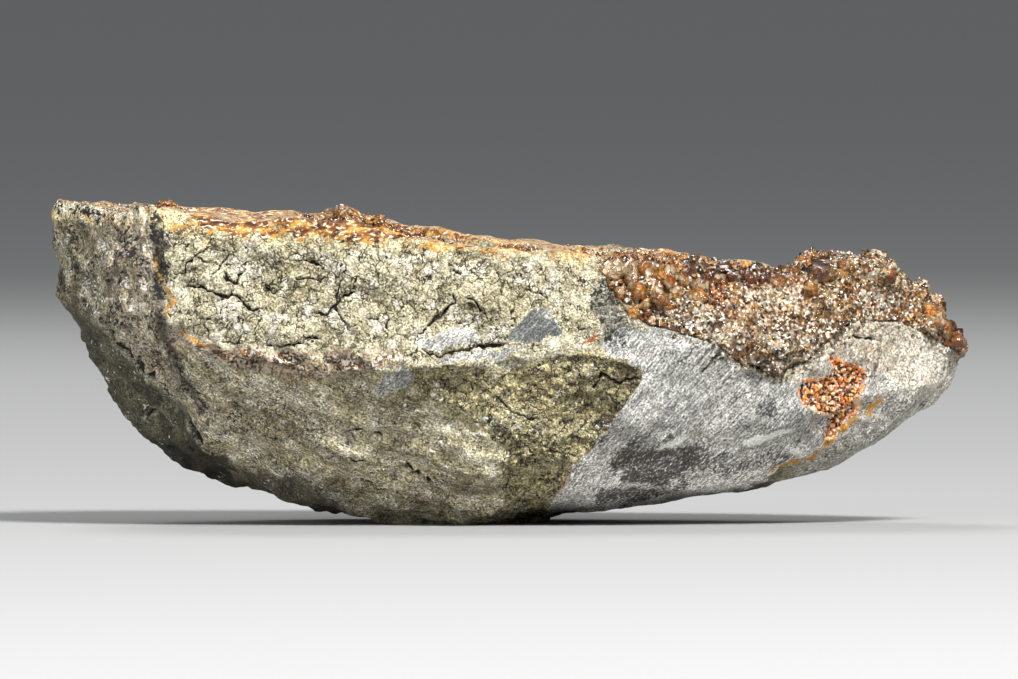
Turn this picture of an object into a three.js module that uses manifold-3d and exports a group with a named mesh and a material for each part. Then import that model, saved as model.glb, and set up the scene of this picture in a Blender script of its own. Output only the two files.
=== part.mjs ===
// Colemanite specimen: half of a boat-shaped mudstone nodule, broken on every side, whose hollow is
// lined with a crust of amber colemanite crystals that also caps the narrow right end.
//
// Millimetres, +Z up. Shapes are drawn in specimen coordinates: x runs from the left tip, y from the
// middle plane with the front negative, z up from the face it stands on. The finished group is then
// centred over the middle of its outline.

import * as THREE from "three";
import { mergeVertices } from "three/addons/utils/BufferGeometryUtils.js";
import { ImprovedNoise } from "three/addons/math/ImprovedNoise.js";
import Module from "manifold-3d";

const wasm = await Module();
wasm.setup();

// ---------------------------------------------------------------- driving dimensions

const LENGTH = 165; // left tip to right tip
const GAP = 0.3; // between the mudstone and the crust that lines it
const STOCK = { width: 195, depth: 130, top: 72 }; // what the cuts from above have to cover
const SLAB = { width: 150, thickness: 60 }; // what breaks away outside a fracture face

// Side outline, as [x, z]. The keel dips below zero where the standing face is cut across it.
const KEEL = [
  [0, 45.6], [1, 39.6], [4, 32.6], [11, 22.4], [18, 14.7], [29, 9.1], [36, 5.4], [47, 3.2],
  [54, 1.2], [58, -0.2], [62, -1.3], [80, -1.3], [84.5, -0.1], [88, 1.4], [94, 1], [101, 3.2],
  [109, 3.4], [123, 5.2], [134, 7.7], [144, 11.6], [152, 15.4], [158.5, 20.6], [163, 24], [165, 31],
];
const RIM = [
  [0, 57.6], [17, 57], [26, 56.3], [45, 55.3], [60, 53.8], [70, 51.8], [80, 50.3], [97, 49.4],
  [110, 48], [134, 45.6], [150, 41.6], [160, 35.6], [165, 32.4],
];
const CREST = [
  [12, 56.6], [17.5, 57.9], [24.5, 58], [27, 56.6], [45, 56.6], [52, 57.2], [56, 56.2], [60, 54.6],
  [66, 54], [70, 51.6], [75, 50.5], [85, 50.2], [97, 49.7], [104, 49.4], [112, 48.2], [118, 46.6],
  [134, 46.4], [137, 48.2], [142.5, 50.1], [147, 49.2], [151, 48], [154, 45.4], [156, 42.2],
  [160, 39.6], [163, 35.6], [165, 31.4],
];
const CREST_SINK = 2.6; // the broken crest lies this far below the tips of its crystals
const BACK_LIFT = { height: 2.6, from: [98, 108], to: [128, 138] }; // the back stands higher here

// Plan outline at the widest height, as [x, y].
const FRONT_EDGE = [
  [0, -14], [5, -27], [16, -42], [40, -48], [75, -50], [102, -48], [120, -41], [136, -33],
  [150, -23.5], [160, -13], [165, -3],
];
const BACK_EDGE = [
  [0, -2], [4, 14], [12, 31], [33, 44], [66, 49], [98, 45], [126, 35], [145, 23], [157, 12],
  [165, 3],
];
const WAIST = 0.34; // where the wall is widest, as a share of the way from rim to keel
const TUMBLEHOME = 0.06; // how far the wall leans in above that, as a share of the half width
const FULLNESS = { across: 2.8, down: 2 }; // powers of the rounded section below the waist

// Edges on the front wall, as [x, z]: the foot of the mud-cracked band, and the proud edge of the grey
// slab, which meets that band at an apex.
const APEX = [106.5, 27.8];
const BAND_FOOT = [[17, 34], [33, 31.4], [46, 27.4], [64, 27.6], [84, 30.4], [97, 30.2], APEX];
const SLAB_EDGE = [[83, -6], [88.5, 2], [94, 11], APEX];

// Fracture faces. Each is a rough plane through a point, with the outward direction that it faces.
// One with an outline breaks only the part of the wall inside that [x, z] outline.
const BELLY = [...BAND_FOOT, [86, 8], [84, -8], [10, -8], [10, 20]];
const RECESS = [[72, 28.4], ...BAND_FOOT.slice(4), ...SLAB_EDGE.slice().reverse(), [70, -6], [74, 12]];
const FRACTURES = [
  { name: "left upper", point: [10, -32.5, 44], faces: [-0.78, -0.62, 0.1] },
  { name: "left lower", point: [20, -29, 24], faces: [-0.66, -0.46, -0.6] },
  { name: "left foot", point: [31, -14, 9], faces: [-0.42, -0.22, -0.88] },
  { name: "left end", point: [2.5, -4, 34], faces: [-0.97, 0.06, -0.22] },
  { name: "mud face left", point: [38, -43.6, 42], faces: [-0.1, -0.97, 0.2] },
  { name: "mud face right", point: [84, -44.6, 40], faces: [0.12, -0.97, 0.2] },
  { name: "belly", point: [48, -41, 25], faces: [-0.17, -0.88, -0.44], outline: BELLY },
  { name: "recess", point: [97, -41, 20], faces: [0.12, -0.93, -0.35], outline: RECESS },
  { name: "recess foot", point: [92, -33, 7], faces: [0.08, -0.66, -0.75], outline: RECESS },
  { name: "belly foot", point: [58, -33, 8], faces: [-0.12, -0.68, -0.72] },
  { name: "ridge foot", point: [38, -30, 13], faces: [-0.36, -0.66, -0.66] },
  { name: "slab", point: [116, -38.6, 21], faces: [0.37, -0.91, -0.16] },
  { name: "slab foot", point: [114, -29, 7], faces: [0.24, -0.62, -0.75] },
  { name: "right under", point: [139, -21, 12.5], faces: [0.38, -0.54, -0.75] },
  { name: "right break", point: [124, -34.6, 38], faces: [0.3, -0.83, 0.46] },
  { name: "right end", point: [155, -15, 32], faces: [0.66, -0.74, 0.14] },
  { name: "back left", point: [14, 26, 38], faces: [-0.72, 0.68, 0.08] },
  { name: "back upper", point: [52, 42.6, 40], faces: [-0.12, 0.97, 0.2] },
  { name: "back middle", point: [84, 41.5, 32], faces: [0.13, 0.98, -0.12] },
  { name: "back right", point: [122, 31, 34], faces: [0.46, 0.88, 0.1] },
  { name: "back belly", point: [60, 33, 14], faces: [-0.14, 0.78, -0.6] },
  { name: "back under", point: [106, 24, 12], faces: [0.25, 0.62, -0.74] },
  { name: "back foot", point: [32, 22, 13], faces: [-0.52, 0.42, -0.74] },
];

// Reliefs: how far apart their lumps are, how far they stand out, and where in the noise they start.
const WALL_SWELL = { size: 15, height: 1.6, start: 0 };
const WALL_LUMPS = { size: 5.7, height: 1.7, start: 8.3 };
const GRAIN = { size: 2.9, height: 3, start: 1.4 }; // the coarse grain of the crust
const RIM_SWELL = { size: 19, height: 1.2, start: 4.1 };
const RIM_CHIPS = { size: 6.5, height: 1.8, start: 2.2 };
const CREST_SWELL = { size: 9, height: 1.4, start: 6.6 };
const BREAK_WANDER = { size: 8, height: 1.1, start: 5.5 };
const BED_WANDER = { size: 14, height: 1.4, start: 1.9 };
const BOWL_WANDER = { size: 13, height: 0.09, start: 0.7 }; // as a share of the bowl's reach
// The shift of a facet's corners along x, y and z, as shares of their spacing.
const STRAY = { size: 0.37, height: 0.8, starts: [3.3, 7.7, 9.1] };

// Beds that crop out below the band.
const STRATA = { slope: 0.42, pitch: 9, height: 2, from: 22, to: 90, below: 25 };

// Lines that stand out from the front wall or are sunk in it, and a rusty pocket.
const SEAM = {
  path: [[17, 60], [18.4, 44], [20.6, 36], [24, 28], [27.6, 21.6]],
  width: 3,
  rise: -1.6,
};
const RIDGE = {
  path: [[25, 27], [30, 20.5], [36, 13.8], [43, 8.4], [52, 4]],
  width: 3.4,
  rise: 1.3,
};
const POCKET = { at: [142, 22.5], reach: [7.4, 9.4], depth: 2 };

// The basin that the crust lines, and the open vug inside the crust: bowls with an oval rim.
const BASIN = { centre: [80, 0.5, 58], reach: [66, 35, 38] };
const VUG = { centre: [77, 0.5, 60], reach: [60, 29, 33] };
const BOWL_LIP = 9; // slope of the sides above the rim

// Lower edge of the crust where it breaks out of the basin, as [x, z]: along the front wall, where it
// starts at the black vein, and along the back wall, where only the right end is capped.
const OVERHEAD = 95; // stands for no break
const FRONT_BREAK = [
  [95.5, OVERHEAD], [97.2, 49.2], [98.8, 45], [103.5, 37.4], [107.5, 36], [113, 36.8], [117, 35.2],
  [121, 31.6], [124, 28.4], [128, 26.8], [133, 26.4], [136, 29.6], [138.4, 33.6], [142, 36.6],
  [148, 37.4], [154.5, 36.2], [160.5, 32.8], [165, 29],
];
const BACK_BREAK = [
  [124, OVERHEAD], [131, 50], [136, 43.6], [142, 40.4], [150, 39.6], [156, 36.4], [161, 32.6],
  [165, 29],
];
const BREAK_TURN = [-12, 16]; // the y between which the front line gives way to the back line
const BACK_LIFT_TURN = [-10, 35]; // the y between which the crest rises to its back height

// Crystals that stand on the crust: how far apart and how long, how stout for their length, and whether
// the point has a blunt shoulder.
const VUG_CRYSTALS = { seed: 11, apart: 10.6, length: [5, 9.5], girth: 0.68, blunt: true };
const CREST_CRYSTALS = { seed: 47, apart: 12.6, length: [2.6, 4.2], girth: 1, blunt: false };
const BREAK_CRYSTALS = { seed: 29, apart: 12.4, length: [2.4, 4], girth: 1.1, blunt: false };
const LAST_CRYSTAL = 159; // none stand further right than this, so that none pass the tip
const CRYSTAL_SIDES = 4;
const CRYSTAL_ROOT = 0.4; // how far a crystal is sunk, as a share of its length
const CRYSTAL_LEAN = 0.9; // how far it strays from square, where 1 is half as far sideways as up
const VUG_DEPTH = 7; // large crystals stand at least this far below the crest

// Spacing of the corners on each surface.
const FRONT_CELL = 4.7;
const BACK_CELL = 9;
const TOP_CELL = 5.2;
const FLOOR_CELL = 9;
const HULL_GRID = { around: 54, rings: 15 };
const SLACK = 0.08; // corners that a surface can lose within this distance are dropped

// ---------------------------------------------------------------- numbers, noise and paths

const perlin = new ImprovedNoise();

// Smooth noise at a point, from about -0.7 to 0.7 of a relief's height.
function rough(p, { size, height, start }) {
  return height * perlin.noise(p.x / size + start, p.y / size - start, p.z / size + 2 * start);
}

function clamp01(t) {
  return Math.min(1, Math.max(0, t));
}

function smooth(from, to, value) {
  const t = clamp01((value - from) / (to - from));
  return t * t * (3 - 2 * t);
}

// The second coordinate of an outline at a first coordinate, along straight stretches.
function at(outline, x) {
  if (x <= outline[0][0]) return outline[0][1];
  for (let i = 1; i < outline.length; i++) {
    const [x0, v0] = outline[i - 1];
    const [x1, v1] = outline[i];
    if (x <= x1) return v0 + ((v1 - v0) * (x - x0)) / (x1 - x0);
  }
  return outline[outline.length - 1][1];
}

// How far the point (x, z) is from a path.
function pathDistance(path, x, z) {
  let least = Infinity;
  for (let i = 1; i < path.length; i++) {
    const [ax, az] = path[i - 1];
    const [bx, bz] = path[i];
    const [ux, uz] = [bx - ax, bz - az];
    const t = clamp01(((x - ax) * ux + (z - az) * uz) / (ux * ux + uz * uz));
    least = Math.min(least, Math.hypot(x - ax - t * ux, z - az - t * uz));
  }
  return least;
}

// The same numbers from 0 to 1 on every run.
function dice(seed) {
  let state = seed >>> 0;
  return () => {
    state = (state + 0x6d2b79f5) >>> 0;
    let t = Math.imul(state ^ (state >>> 15), 1 | state);
    t = (t + Math.imul(t ^ (t >>> 7), 61 | t)) ^ t;
    return ((t ^ (t >>> 14)) >>> 0) / 4294967296;
  };
}

// ---------------------------------------------------------------- solids

function solid(geometry) {
  const bare = geometry.clone();
  bare.deleteAttribute("normal");
  bare.deleteAttribute("uv");
  const merged = mergeVertices(bare, 1e-4);
  return new wasm.Manifold(
    new wasm.Mesh({
      numProp: 3,
      vertProperties: merged.attributes.position.array,
      triVerts: new Uint32Array(merged.index.array),
    }),
  );
}

// The largest body of a solid, without any sealed hollow.
function largestBody(manifold) {
  return manifold.decompose().reduce((a, b) => (b.volume() > a.volume() ? b : a));
}

function meshOf(name, manifold, material) {
  const made = manifold.getMesh();
  const geometry = new THREE.BufferGeometry();
  geometry.setAttribute("position", new THREE.BufferAttribute(new Float32Array(made.vertProperties), 3));
  geometry.setIndex(new THREE.BufferAttribute(new Uint32Array(made.triVerts), 1));
  geometry.computeVertexNormals();
  const mesh = new THREE.Mesh(geometry, material);
  mesh.name = name;
  return mesh;
}

// A sphere's grid, with its poles to the front and the back, and each corner moved by a function.
function ball(around, rings, place) {
  const geometry = new THREE.SphereGeometry(1, around, rings);
  const position = geometry.attributes.position;
  const direction = new THREE.Vector3();
  const placed = new Map();
  for (let i = 0; i < position.count; i++) {
    direction.fromBufferAttribute(position, i);
    const key = direction.toArray().map((v) => Math.round(v * 1e5)).join();
    if (!placed.has(key)) placed.set(key, place(direction.clone()));
    position.setXYZ(i, ...placed.get(key));
  }
  return solid(geometry);
}

function prism(outline, from, to) {
  const shape = new THREE.Shape(outline.map(([x, z]) => new THREE.Vector2(x, z)));
  const geometry = new THREE.ExtrudeGeometry(shape, { depth: to - from, bevelEnabled: false, steps: 1 });
  // The shape's own plane is XY and it grows along Z: turn it up so that it grows along -Y.
  geometry.rotateX(Math.PI / 2);
  geometry.translate(0, to, 0);
  return solid(geometry);
}

// A small shift of a corner, so that the facets of a surface don't line up.
function stray(p, cell) {
  const relief = { size: STRAY.size * cell, height: STRAY.height * cell };
  const shifts = STRAY.starts.map((start) => rough(p, { ...relief, start }));
  return new THREE.Vector3(...shifts);
}

// Everything above a surface z = height(x, y), as a slab that reaches past the stone.
function above(height, cell) {
  const columns = Math.round(STOCK.width / cell);
  const rows = Math.round(STOCK.depth / cell);
  const geometry = new THREE.BoxGeometry(STOCK.width, STOCK.depth, 1, columns, rows, 1);
  const position = geometry.attributes.position;
  for (let i = 0; i < position.count; i++) {
    const corner = new THREE.Vector3(position.getX(i) + LENGTH / 2, position.getY(i), 0);
    corner.add(stray(corner, cell));
    const { x, y } = corner;
    position.setXYZ(i, x, y, position.getZ(i) > 0 ? OVERHEAD + 20 : height(x, y));
  }
  return solid(geometry);
}

// ---------------------------------------------------------------- the stone's walls

const HEART = new THREE.Vector3(78, 1, 33); // rays to the walls start here
const RAY_STRETCH = new THREE.Vector3(84, 46, 36);
const RAY_STEPS = 26;

// True inside the rounded hull, before its faces are broken.
function inHull(p) {
  if (p.x < 0 || p.x > LENGTH || p.z > STOCK.top) return false;
  const front = at(FRONT_EDGE, p.x);
  const back = at(BACK_EDGE, p.x);
  const across = Math.abs(p.y - (front + back) / 2) / ((back - front) / 2);
  const top = at(RIM, p.x);
  const drop = (top - p.z) / (top - at(KEEL, p.x));
  if (drop > 1) return false;
  if (drop < WAIST) return across < 1 - TUMBLEHOME * Math.min(2, (1 - drop / WAIST) ** 2);
  const below = (drop - WAIST) / (1 - WAIST);
  return across ** FULLNESS.across + below ** FULLNESS.down < 1;
}

// How far a wall stands out from its plain form at a point on it.
function relief(p) {
  let out = rough(p, WALL_SWELL) + rough(p, WALL_LUMPS);
  if (p.z > crustFloor(p.x, p.y)) out += rough(p, GRAIN);
  if (p.y > 0) return out;
  for (const line of [SEAM, RIDGE]) {
    out += line.rise * (1 - smooth(0, line.width, pathDistance(line.path, p.x, p.z)));
  }
  if (p.x > STRATA.from && p.x < STRATA.to && p.z < STRATA.below) {
    const level = (p.z + STRATA.slope * p.x + rough(p, BED_WANDER)) / STRATA.pitch;
    out += STRATA.height * (level - Math.floor(level) - 0.5);
  }
  const { at: [x, z], reach, depth } = POCKET;
  return out - depth * (1 - smooth(0.55, 1, Math.hypot((p.x - x) / reach[0], (p.z - z) / reach[1])));
}

// The point of the hull that a ray from the heart meets.
function hullPoint(direction) {
  const ray = direction.clone().multiply(RAY_STRETCH).normalize();
  const probe = new THREE.Vector3();
  let inner = 0;
  let outer = LENGTH;
  for (let step = 0; step < RAY_STEPS; step++) {
    const middle = (inner + outer) / 2;
    probe.copy(HEART).addScaledVector(ray, middle);
    if (inHull(probe)) inner = middle;
    else outer = middle;
  }
  probe.copy(HEART).addScaledVector(ray, inner);
  return probe.addScaledVector(ray, relief(probe)).toArray();
}

// What breaks away outside a fracture face: a slab whose inner side is the rough face.
function breakage({ point, faces, outline }) {
  const normal = new THREE.Vector3(...faces).normalize();
  const cell = normal.y < 0 ? FRONT_CELL : BACK_CELL;
  const cells = Math.round(SLAB.width / cell);
  const geometry = new THREE.BoxGeometry(SLAB.width, SLAB.width, SLAB.thickness, cells, cells, 1);
  geometry.translate(0, 0, SLAB.thickness / 2);
  geometry.applyQuaternion(new THREE.Quaternion().setFromUnitVectors(new THREE.Vector3(0, 0, 1), normal));
  geometry.translate(...point);
  const position = geometry.attributes.position;
  const corner = new THREE.Vector3();
  const level = normal.dot(new THREE.Vector3(...point));
  for (let i = 0; i < position.count; i++) {
    corner.fromBufferAttribute(position, i);
    if (normal.dot(corner) > level + SLAB.thickness / 2) continue;
    const shift = stray(corner, cell);
    corner.add(shift.addScaledVector(normal, -shift.dot(normal)));
    position.setXYZ(i, ...corner.addScaledVector(normal, relief(corner)).toArray());
  }
  const slab = solid(geometry);
  return outline ? slab.intersect(prism(outline, -90, -8)) : slab;
}

// The rounded hull with its fracture faces.
function walls() {
  const hull = ball(HULL_GRID.around, HULL_GRID.rings, hullPoint);
  return FRACTURES.reduce((stone, fracture) => stone.subtract(breakage(fracture)), hull);
}

// Everything below the face that the specimen stands on.
function standingFace() {
  const box = new THREE.BoxGeometry(STOCK.width, STOCK.depth, STOCK.top);
  box.translate(LENGTH / 2, 0, -STOCK.top / 2);
  return solid(box);
}

// The broken upper edge of the mudstone.
function rimHeight(x, y) {
  const p = new THREE.Vector3(x, y, 0);
  return at(RIM, x) + rough(p, RIM_SWELL) + rough(p, RIM_CHIPS);
}

// ---------------------------------------------------------------- the crust's surfaces

// Height of a bowl at a point: outside its rim it stands overhead.
function bowl({ centre, reach }, x, y) {
  const wander = 1 + rough(new THREE.Vector3(x, y, reach[0]), BOWL_WANDER);
  const out = Math.hypot((x - centre[0]) / reach[0], (y - centre[1]) / reach[1]) * wander;
  const rise = out < 1 ? -Math.sqrt(1 - out * out) : BOWL_LIP * (out - 1);
  return centre[2] + reach[2] * rise;
}

// The under side of the crust, where it grew on the mudstone.
function crustFloor(x, y) {
  const back = smooth(...BREAK_TURN, y);
  const edge = at(FRONT_BREAK, x) * (1 - back) + at(BACK_BREAK, x) * back;
  const wander = rough(new THREE.Vector3(x, y, 0), BREAK_WANDER);
  return Math.min(OVERHEAD, bowl(BASIN, x, y), edge + wander);
}

// The same surface for the mudstone, lower by the gap measured square to it.
function basinFloor(x, y) {
  const step = 0.5;
  const slopeX = (crustFloor(x + step, y) - crustFloor(x - step, y)) / (2 * step);
  const slopeY = (crustFloor(x, y + step) - crustFloor(x, y - step)) / (2 * step);
  return crustFloor(x, y) - GAP * Math.hypot(1, slopeX, slopeY);
}

// The upper side of the crust: its crest, and the floor of the vug.
function crustTop(x, y) {
  const p = new THREE.Vector3(x, y, 0);
  const lifted = smooth(...BACK_LIFT_TURN, y) * (smooth(...BACK_LIFT.from, x) - smooth(...BACK_LIFT.to, x));
  const crest = at(CREST, x) - CREST_SINK + BACK_LIFT.height * lifted + rough(p, CREST_SWELL);
  return Math.min(crest, bowl(VUG, x, y)) + rough(p, GRAIN);
}

// ---------------------------------------------------------------- crystals

// A stout crystal, standing on the origin with its root below it.
function crystal(length, girth, blunt, random) {
  const waist = 0.35 * random();
  const shoulder = 0.35 + 0.3 * random();
  const point = blunt ? [[shoulder, 0.86], [0, 1]] : [[0, 0.9]];
  const profile = [[0, -CRYSTAL_ROOT], [1, waist], ...point];
  const corners = profile.map(([r, h]) => new THREE.Vector2(r * girth, h * length));
  const geometry = new THREE.LatheGeometry(corners, CRYSTAL_SIDES);
  geometry.rotateX(Math.PI / 2);
  geometry.scale(1, 0.62 + 0.3 * random(), 1);
  const lean = 0.32 * (random() - 0.5);
  const position = geometry.attributes.position;
  for (let i = 0; i < position.count; i++) {
    position.setX(i, position.getX(i) + lean * Math.max(0, position.getZ(i)));
  }
  return geometry;
}

function crystalAt({ point, facing }, { length, girth, blunt }, random) {
  const size = THREE.MathUtils.lerp(length[0], length[1], random() ** 1.7);
  const lean = new THREE.Vector3(random() - 0.5, random() - 0.5, random() - 0.5);
  const up = facing.clone().addScaledVector(lean, CRYSTAL_LEAN).normalize();
  const turn = new THREE.Quaternion().setFromUnitVectors(new THREE.Vector3(0, 0, 1), up);
  const spin = new THREE.Quaternion().setFromAxisAngle(up, random() * Math.PI * 2);
  const geometry = crystal(size, size * girth * (0.85 + 0.35 * random()), blunt, random);
  geometry.applyQuaternion(spin.multiply(turn));
  geometry.translate(...point.toArray());
  return solid(geometry);
}

// The triangles of a solid that a test on their middle and direction picks.
function facesOf(manifold, picked) {
  const { vertProperties, triVerts } = manifold.getMesh();
  const corner = (i) => new THREE.Vector3().fromArray(vertProperties, 3 * triVerts[i]);
  const faces = [];
  for (let i = 0; i < triVerts.length; i += 3) {
    const face = new THREE.Triangle(corner(i), corner(i + 1), corner(i + 2));
    const facing = face.getNormal(new THREE.Vector3());
    if (picked(face.getMidpoint(new THREE.Vector3()), facing)) faces.push({ face, facing });
  }
  return faces;
}

// Crystals over the picked faces of a solid, no two closer than their spacing.
function crystalsOn(manifold, kind, picked) {
  const random = dice(kind.seed);
  const faces = facesOf(manifold, picked);
  const largest = Math.max(...faces.map(({ face }) => face.getArea()));
  const spots = [];
  for (let tries = 0; tries < 60 * faces.length; tries++) {
    const { face, facing } = faces[Math.floor(random() * faces.length)];
    const [u, v] = [random(), random()];
    if (random() > face.getArea() / largest || u + v > 1) continue;
    const point = face.a.clone().multiplyScalar(1 - u - v);
    point.addScaledVector(face.b, u).addScaledVector(face.c, v);
    if (spots.every((spot) => spot.point.distanceTo(point) > kind.apart)) spots.push({ point, facing });
  }
  return spots.map((spot) => crystalAt(spot, kind, random));
}

// ---------------------------------------------------------------- the two pieces

function makeMudstone(stone) {
  const open = stone.subtract(above(rimHeight, TOP_CELL)).subtract(above(basinFloor, FLOOR_CELL));
  return largestBody(open.subtract(standingFace())).simplify(SLACK);
}

function makeCrust(stone) {
  const room = above(crustFloor, FLOOR_CELL);
  const mass = stone.intersect(room).subtract(above(crustTop, TOP_CELL));
  const clear = ({ x, y, z }) => x < LAST_CRYSTAL && z > crustFloor(x, y) + 1;
  const onTop = ({ x, y, z }, facing) => facing.z > 0 && z > crustTop(x, y) - 2;
  const inVug = ({ x, y, z }) => z < at(CREST, x) - VUG_DEPTH && bowl(VUG, x, y) < OVERHEAD;
  const crystals = [
    ...crystalsOn(mass, VUG_CRYSTALS, (p, facing) => clear(p) && onTop(p, facing) && inVug(p)),
    ...crystalsOn(mass, CREST_CRYSTALS, (p, facing) => clear(p) && onTop(p, facing) && !inVug(p)),
    ...crystalsOn(mass, BREAK_CRYSTALS, (p, facing) => clear(p) && !onTop(p, facing)),
  ];
  return largestBody(wasm.Manifold.union([mass, ...crystals]).intersect(room)).simplify(SLACK);
}

const stoneWalls = walls();
const pieces = new THREE.Group();
pieces.add(
  meshOf(
    "mudstone_matrix",
    makeMudstone(stoneWalls),
    new THREE.MeshStandardMaterial({ color: 0xa9a48c, roughness: 0.92, metalness: 0 }),
  ),
  meshOf(
    "colemanite_crust",
    makeCrust(stoneWalls),
    new THREE.MeshStandardMaterial({ color: 0xc07a34, roughness: 0.25, metalness: 0 }),
  ),
);

const outline = new THREE.Box3().setFromObject(pieces);
const middle = outline.getCenter(new THREE.Vector3());
pieces.position.set(-middle.x, -middle.y, -outline.min.z);

const specimen = new THREE.Group();
specimen.add(pieces);

export default specimen;
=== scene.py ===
"""Dresses the colemanite specimen: a boat of dried mudstone whose hollow is lined with amber crystals.

Lines and patches on the stone are drawn as (x, z) in millimetres on the specimen itself: x from its left
tip, z up from the face it stands on. Its y runs from the middle plane, with the front negative.
"""

import logging
import math
from collections.abc import Callable
from dataclasses import dataclass, field
from enum import Enum

import bmesh
import bpy
import numpy as np
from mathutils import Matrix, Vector
from mathutils.bvhtree import BVHTree


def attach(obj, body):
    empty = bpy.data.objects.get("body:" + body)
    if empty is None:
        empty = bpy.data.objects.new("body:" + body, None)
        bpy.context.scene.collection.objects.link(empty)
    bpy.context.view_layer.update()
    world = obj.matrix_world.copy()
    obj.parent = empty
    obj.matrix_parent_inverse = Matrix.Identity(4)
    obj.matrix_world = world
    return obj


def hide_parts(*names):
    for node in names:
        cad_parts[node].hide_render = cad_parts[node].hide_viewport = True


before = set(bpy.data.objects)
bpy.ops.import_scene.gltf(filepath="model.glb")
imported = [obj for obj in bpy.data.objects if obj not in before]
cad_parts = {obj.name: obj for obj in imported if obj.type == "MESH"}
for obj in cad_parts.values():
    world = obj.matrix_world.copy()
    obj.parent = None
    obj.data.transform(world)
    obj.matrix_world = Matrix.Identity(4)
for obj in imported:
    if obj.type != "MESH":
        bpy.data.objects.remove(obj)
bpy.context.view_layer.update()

log = logging.getLogger("specimen")

MM = 0.001
DATUM = np.array([81.88, -2.29, 0.0])  # the frame's origin, in specimen millimetres
STONE_NODE = "mudstone_matrix"
CRUST_NODE = "colemanite_crust"

Array = np.ndarray
Mesh = bpy.types.Mesh
Node = bpy.types.Node
Piece = bpy.types.Object
Point = tuple[float, float]
Path = tuple[Point, ...]


# ---- numbers


def paint(code: int) -> Array:
    """The linear colour of a hex code."""
    coded = np.array([code >> 16, code >> 8 & 255, code & 255]) / 255
    return np.where(coded <= 0.04045, coded / 12.92, ((coded + 0.055) / 1.055) ** 2.4)


def layered(base: int, *layers: tuple[Array, int]) -> Array:
    """Lays colours over an even one.

    Args:
        base: the hex code of the lowest colour.
        layers: for each layer, how far it covers each point, and its hex code.

    Returns:
        One colour for each point.
    """
    tone = np.tile(paint(base), (len(layers[0][0]), 1))
    for cover, code in layers:
        tone += cover[:, None] * (paint(code) - tone)
    return tone


def ease(value: Array, low: float, high: float) -> Array:
    """Rises smoothly from 0 at low to 1 at high."""
    t = np.clip((value - low) / (high - low), 0, 1)
    return t * t * (3 - 2 * t)


def scatter(cells: Array, seed: int) -> Array:
    """A random number from 0 to 1 for each lattice cell.

    Args:
        cells: whole numbers, three to a row.
        seed: picks another set of numbers.

    Returns:
        One number for each row.
    """
    mixed = cells @ np.array([73_856_093, 19_349_663, 83_492_791]) + seed * 974_711_731
    mixed = (mixed ^ (mixed >> 13)) * 1_274_126_177
    mixed = (mixed ^ (mixed >> 15)) * 668_265_263
    return ((mixed ^ (mixed >> 17)) & 0xFFFFFF) / 0x1000000


CORNERS = np.array([[i & 1, i >> 1 & 1, i >> 2] for i in range(8)])
NEIGHBOURS = np.array([[i % 3 - 1, i // 3 % 3 - 1, i // 9 - 1] for i in range(27)])


def noise(points: Array, size: float, seed: int, octaves: int = 3) -> Array:
    """Smooth noise, mostly between -1 and 1.

    Args:
        points: positions in millimetres, three to a row.
        size: how far apart its largest lumps are.
        seed: picks another noise.
        octaves: how many finer layers are added up.

    Returns:
        One number for each point.
    """
    total = np.zeros(len(points))
    for octave in range(octaves):
        scaled = points * (2**octave / size) + 19.7 * octave
        low = np.floor(scaled)
        t = scaled - low
        t = t * t * (3 - 2 * t)
        low = low.astype(np.int64)
        layer = np.zeros(len(points))
        for corner in CORNERS:
            weight = np.where(corner, t, 1 - t)
            layer += weight[:, 0] * weight[:, 1] * weight[:, 2] * scatter(low + corner, seed + octave)
        total += 0.5**octave * (layer * 2 - 1)
    return total * 1.25


@dataclass
class Cells:
    """What a cellular pattern says at each point: the way to the wall, a random number and the offset."""

    wall: Array
    number: Array
    offset: Array


def cells(points: Array, size: float, seed: int) -> Cells:
    """Random cells in space, as in dried mud or grain.

    Args:
        points: positions in millimetres, three to a row.
        size: how far apart the cells are.
        seed: picks another pattern.

    Returns:
        The cells at the points, with lengths in millimetres.
    """
    scaled = points / size
    home = np.floor(scaled).astype(np.int64)
    nearest, second = np.full(len(points), 9.0), np.full(len(points), 9.0)
    number, offset = np.zeros(len(points)), np.zeros((len(points), 3))
    for step in NEIGHBOURS:
        cell = home + step
        stray = np.stack([scatter(cell, seed + i) for i in range(3)], axis=1)
        away = scaled - cell - stray
        gap = np.sqrt((away * away).sum(1))
        closer = gap < nearest
        second = np.where(closer, nearest, np.minimum(second, gap))
        nearest = np.where(closer, gap, nearest)
        number = np.where(closer, stray[:, 0] * 7.13 % 1, number)
        offset = np.where(closer[:, None], away, offset)
    return Cells((second - nearest) * size / 2, number, offset * size)


def to_line(flat: Array, line: Path) -> tuple[Array, Array]:
    """Each point's distance to a line of straight runs, and how far along it the nearest place is.

    Args:
        flat: (x, z) positions in millimetres.
        line: the line's corners.

    Returns:
        The distances, and the places along the line from 0 to 1.
    """
    nearest, place_along = np.full(len(flat), np.inf), np.zeros(len(flat))
    for index, (start, end) in enumerate(zip(line, line[1:])):
        run = np.subtract(end, start)
        away = flat - np.array(start)
        along = np.clip(away @ run / (run @ run), 0, 1)
        distance = np.linalg.norm(away - along[:, None] * run, axis=1)
        place_along = np.where(distance < nearest, (index + along) / (len(line) - 1), place_along)
        nearest = np.minimum(nearest, distance)
    return nearest, place_along


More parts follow.
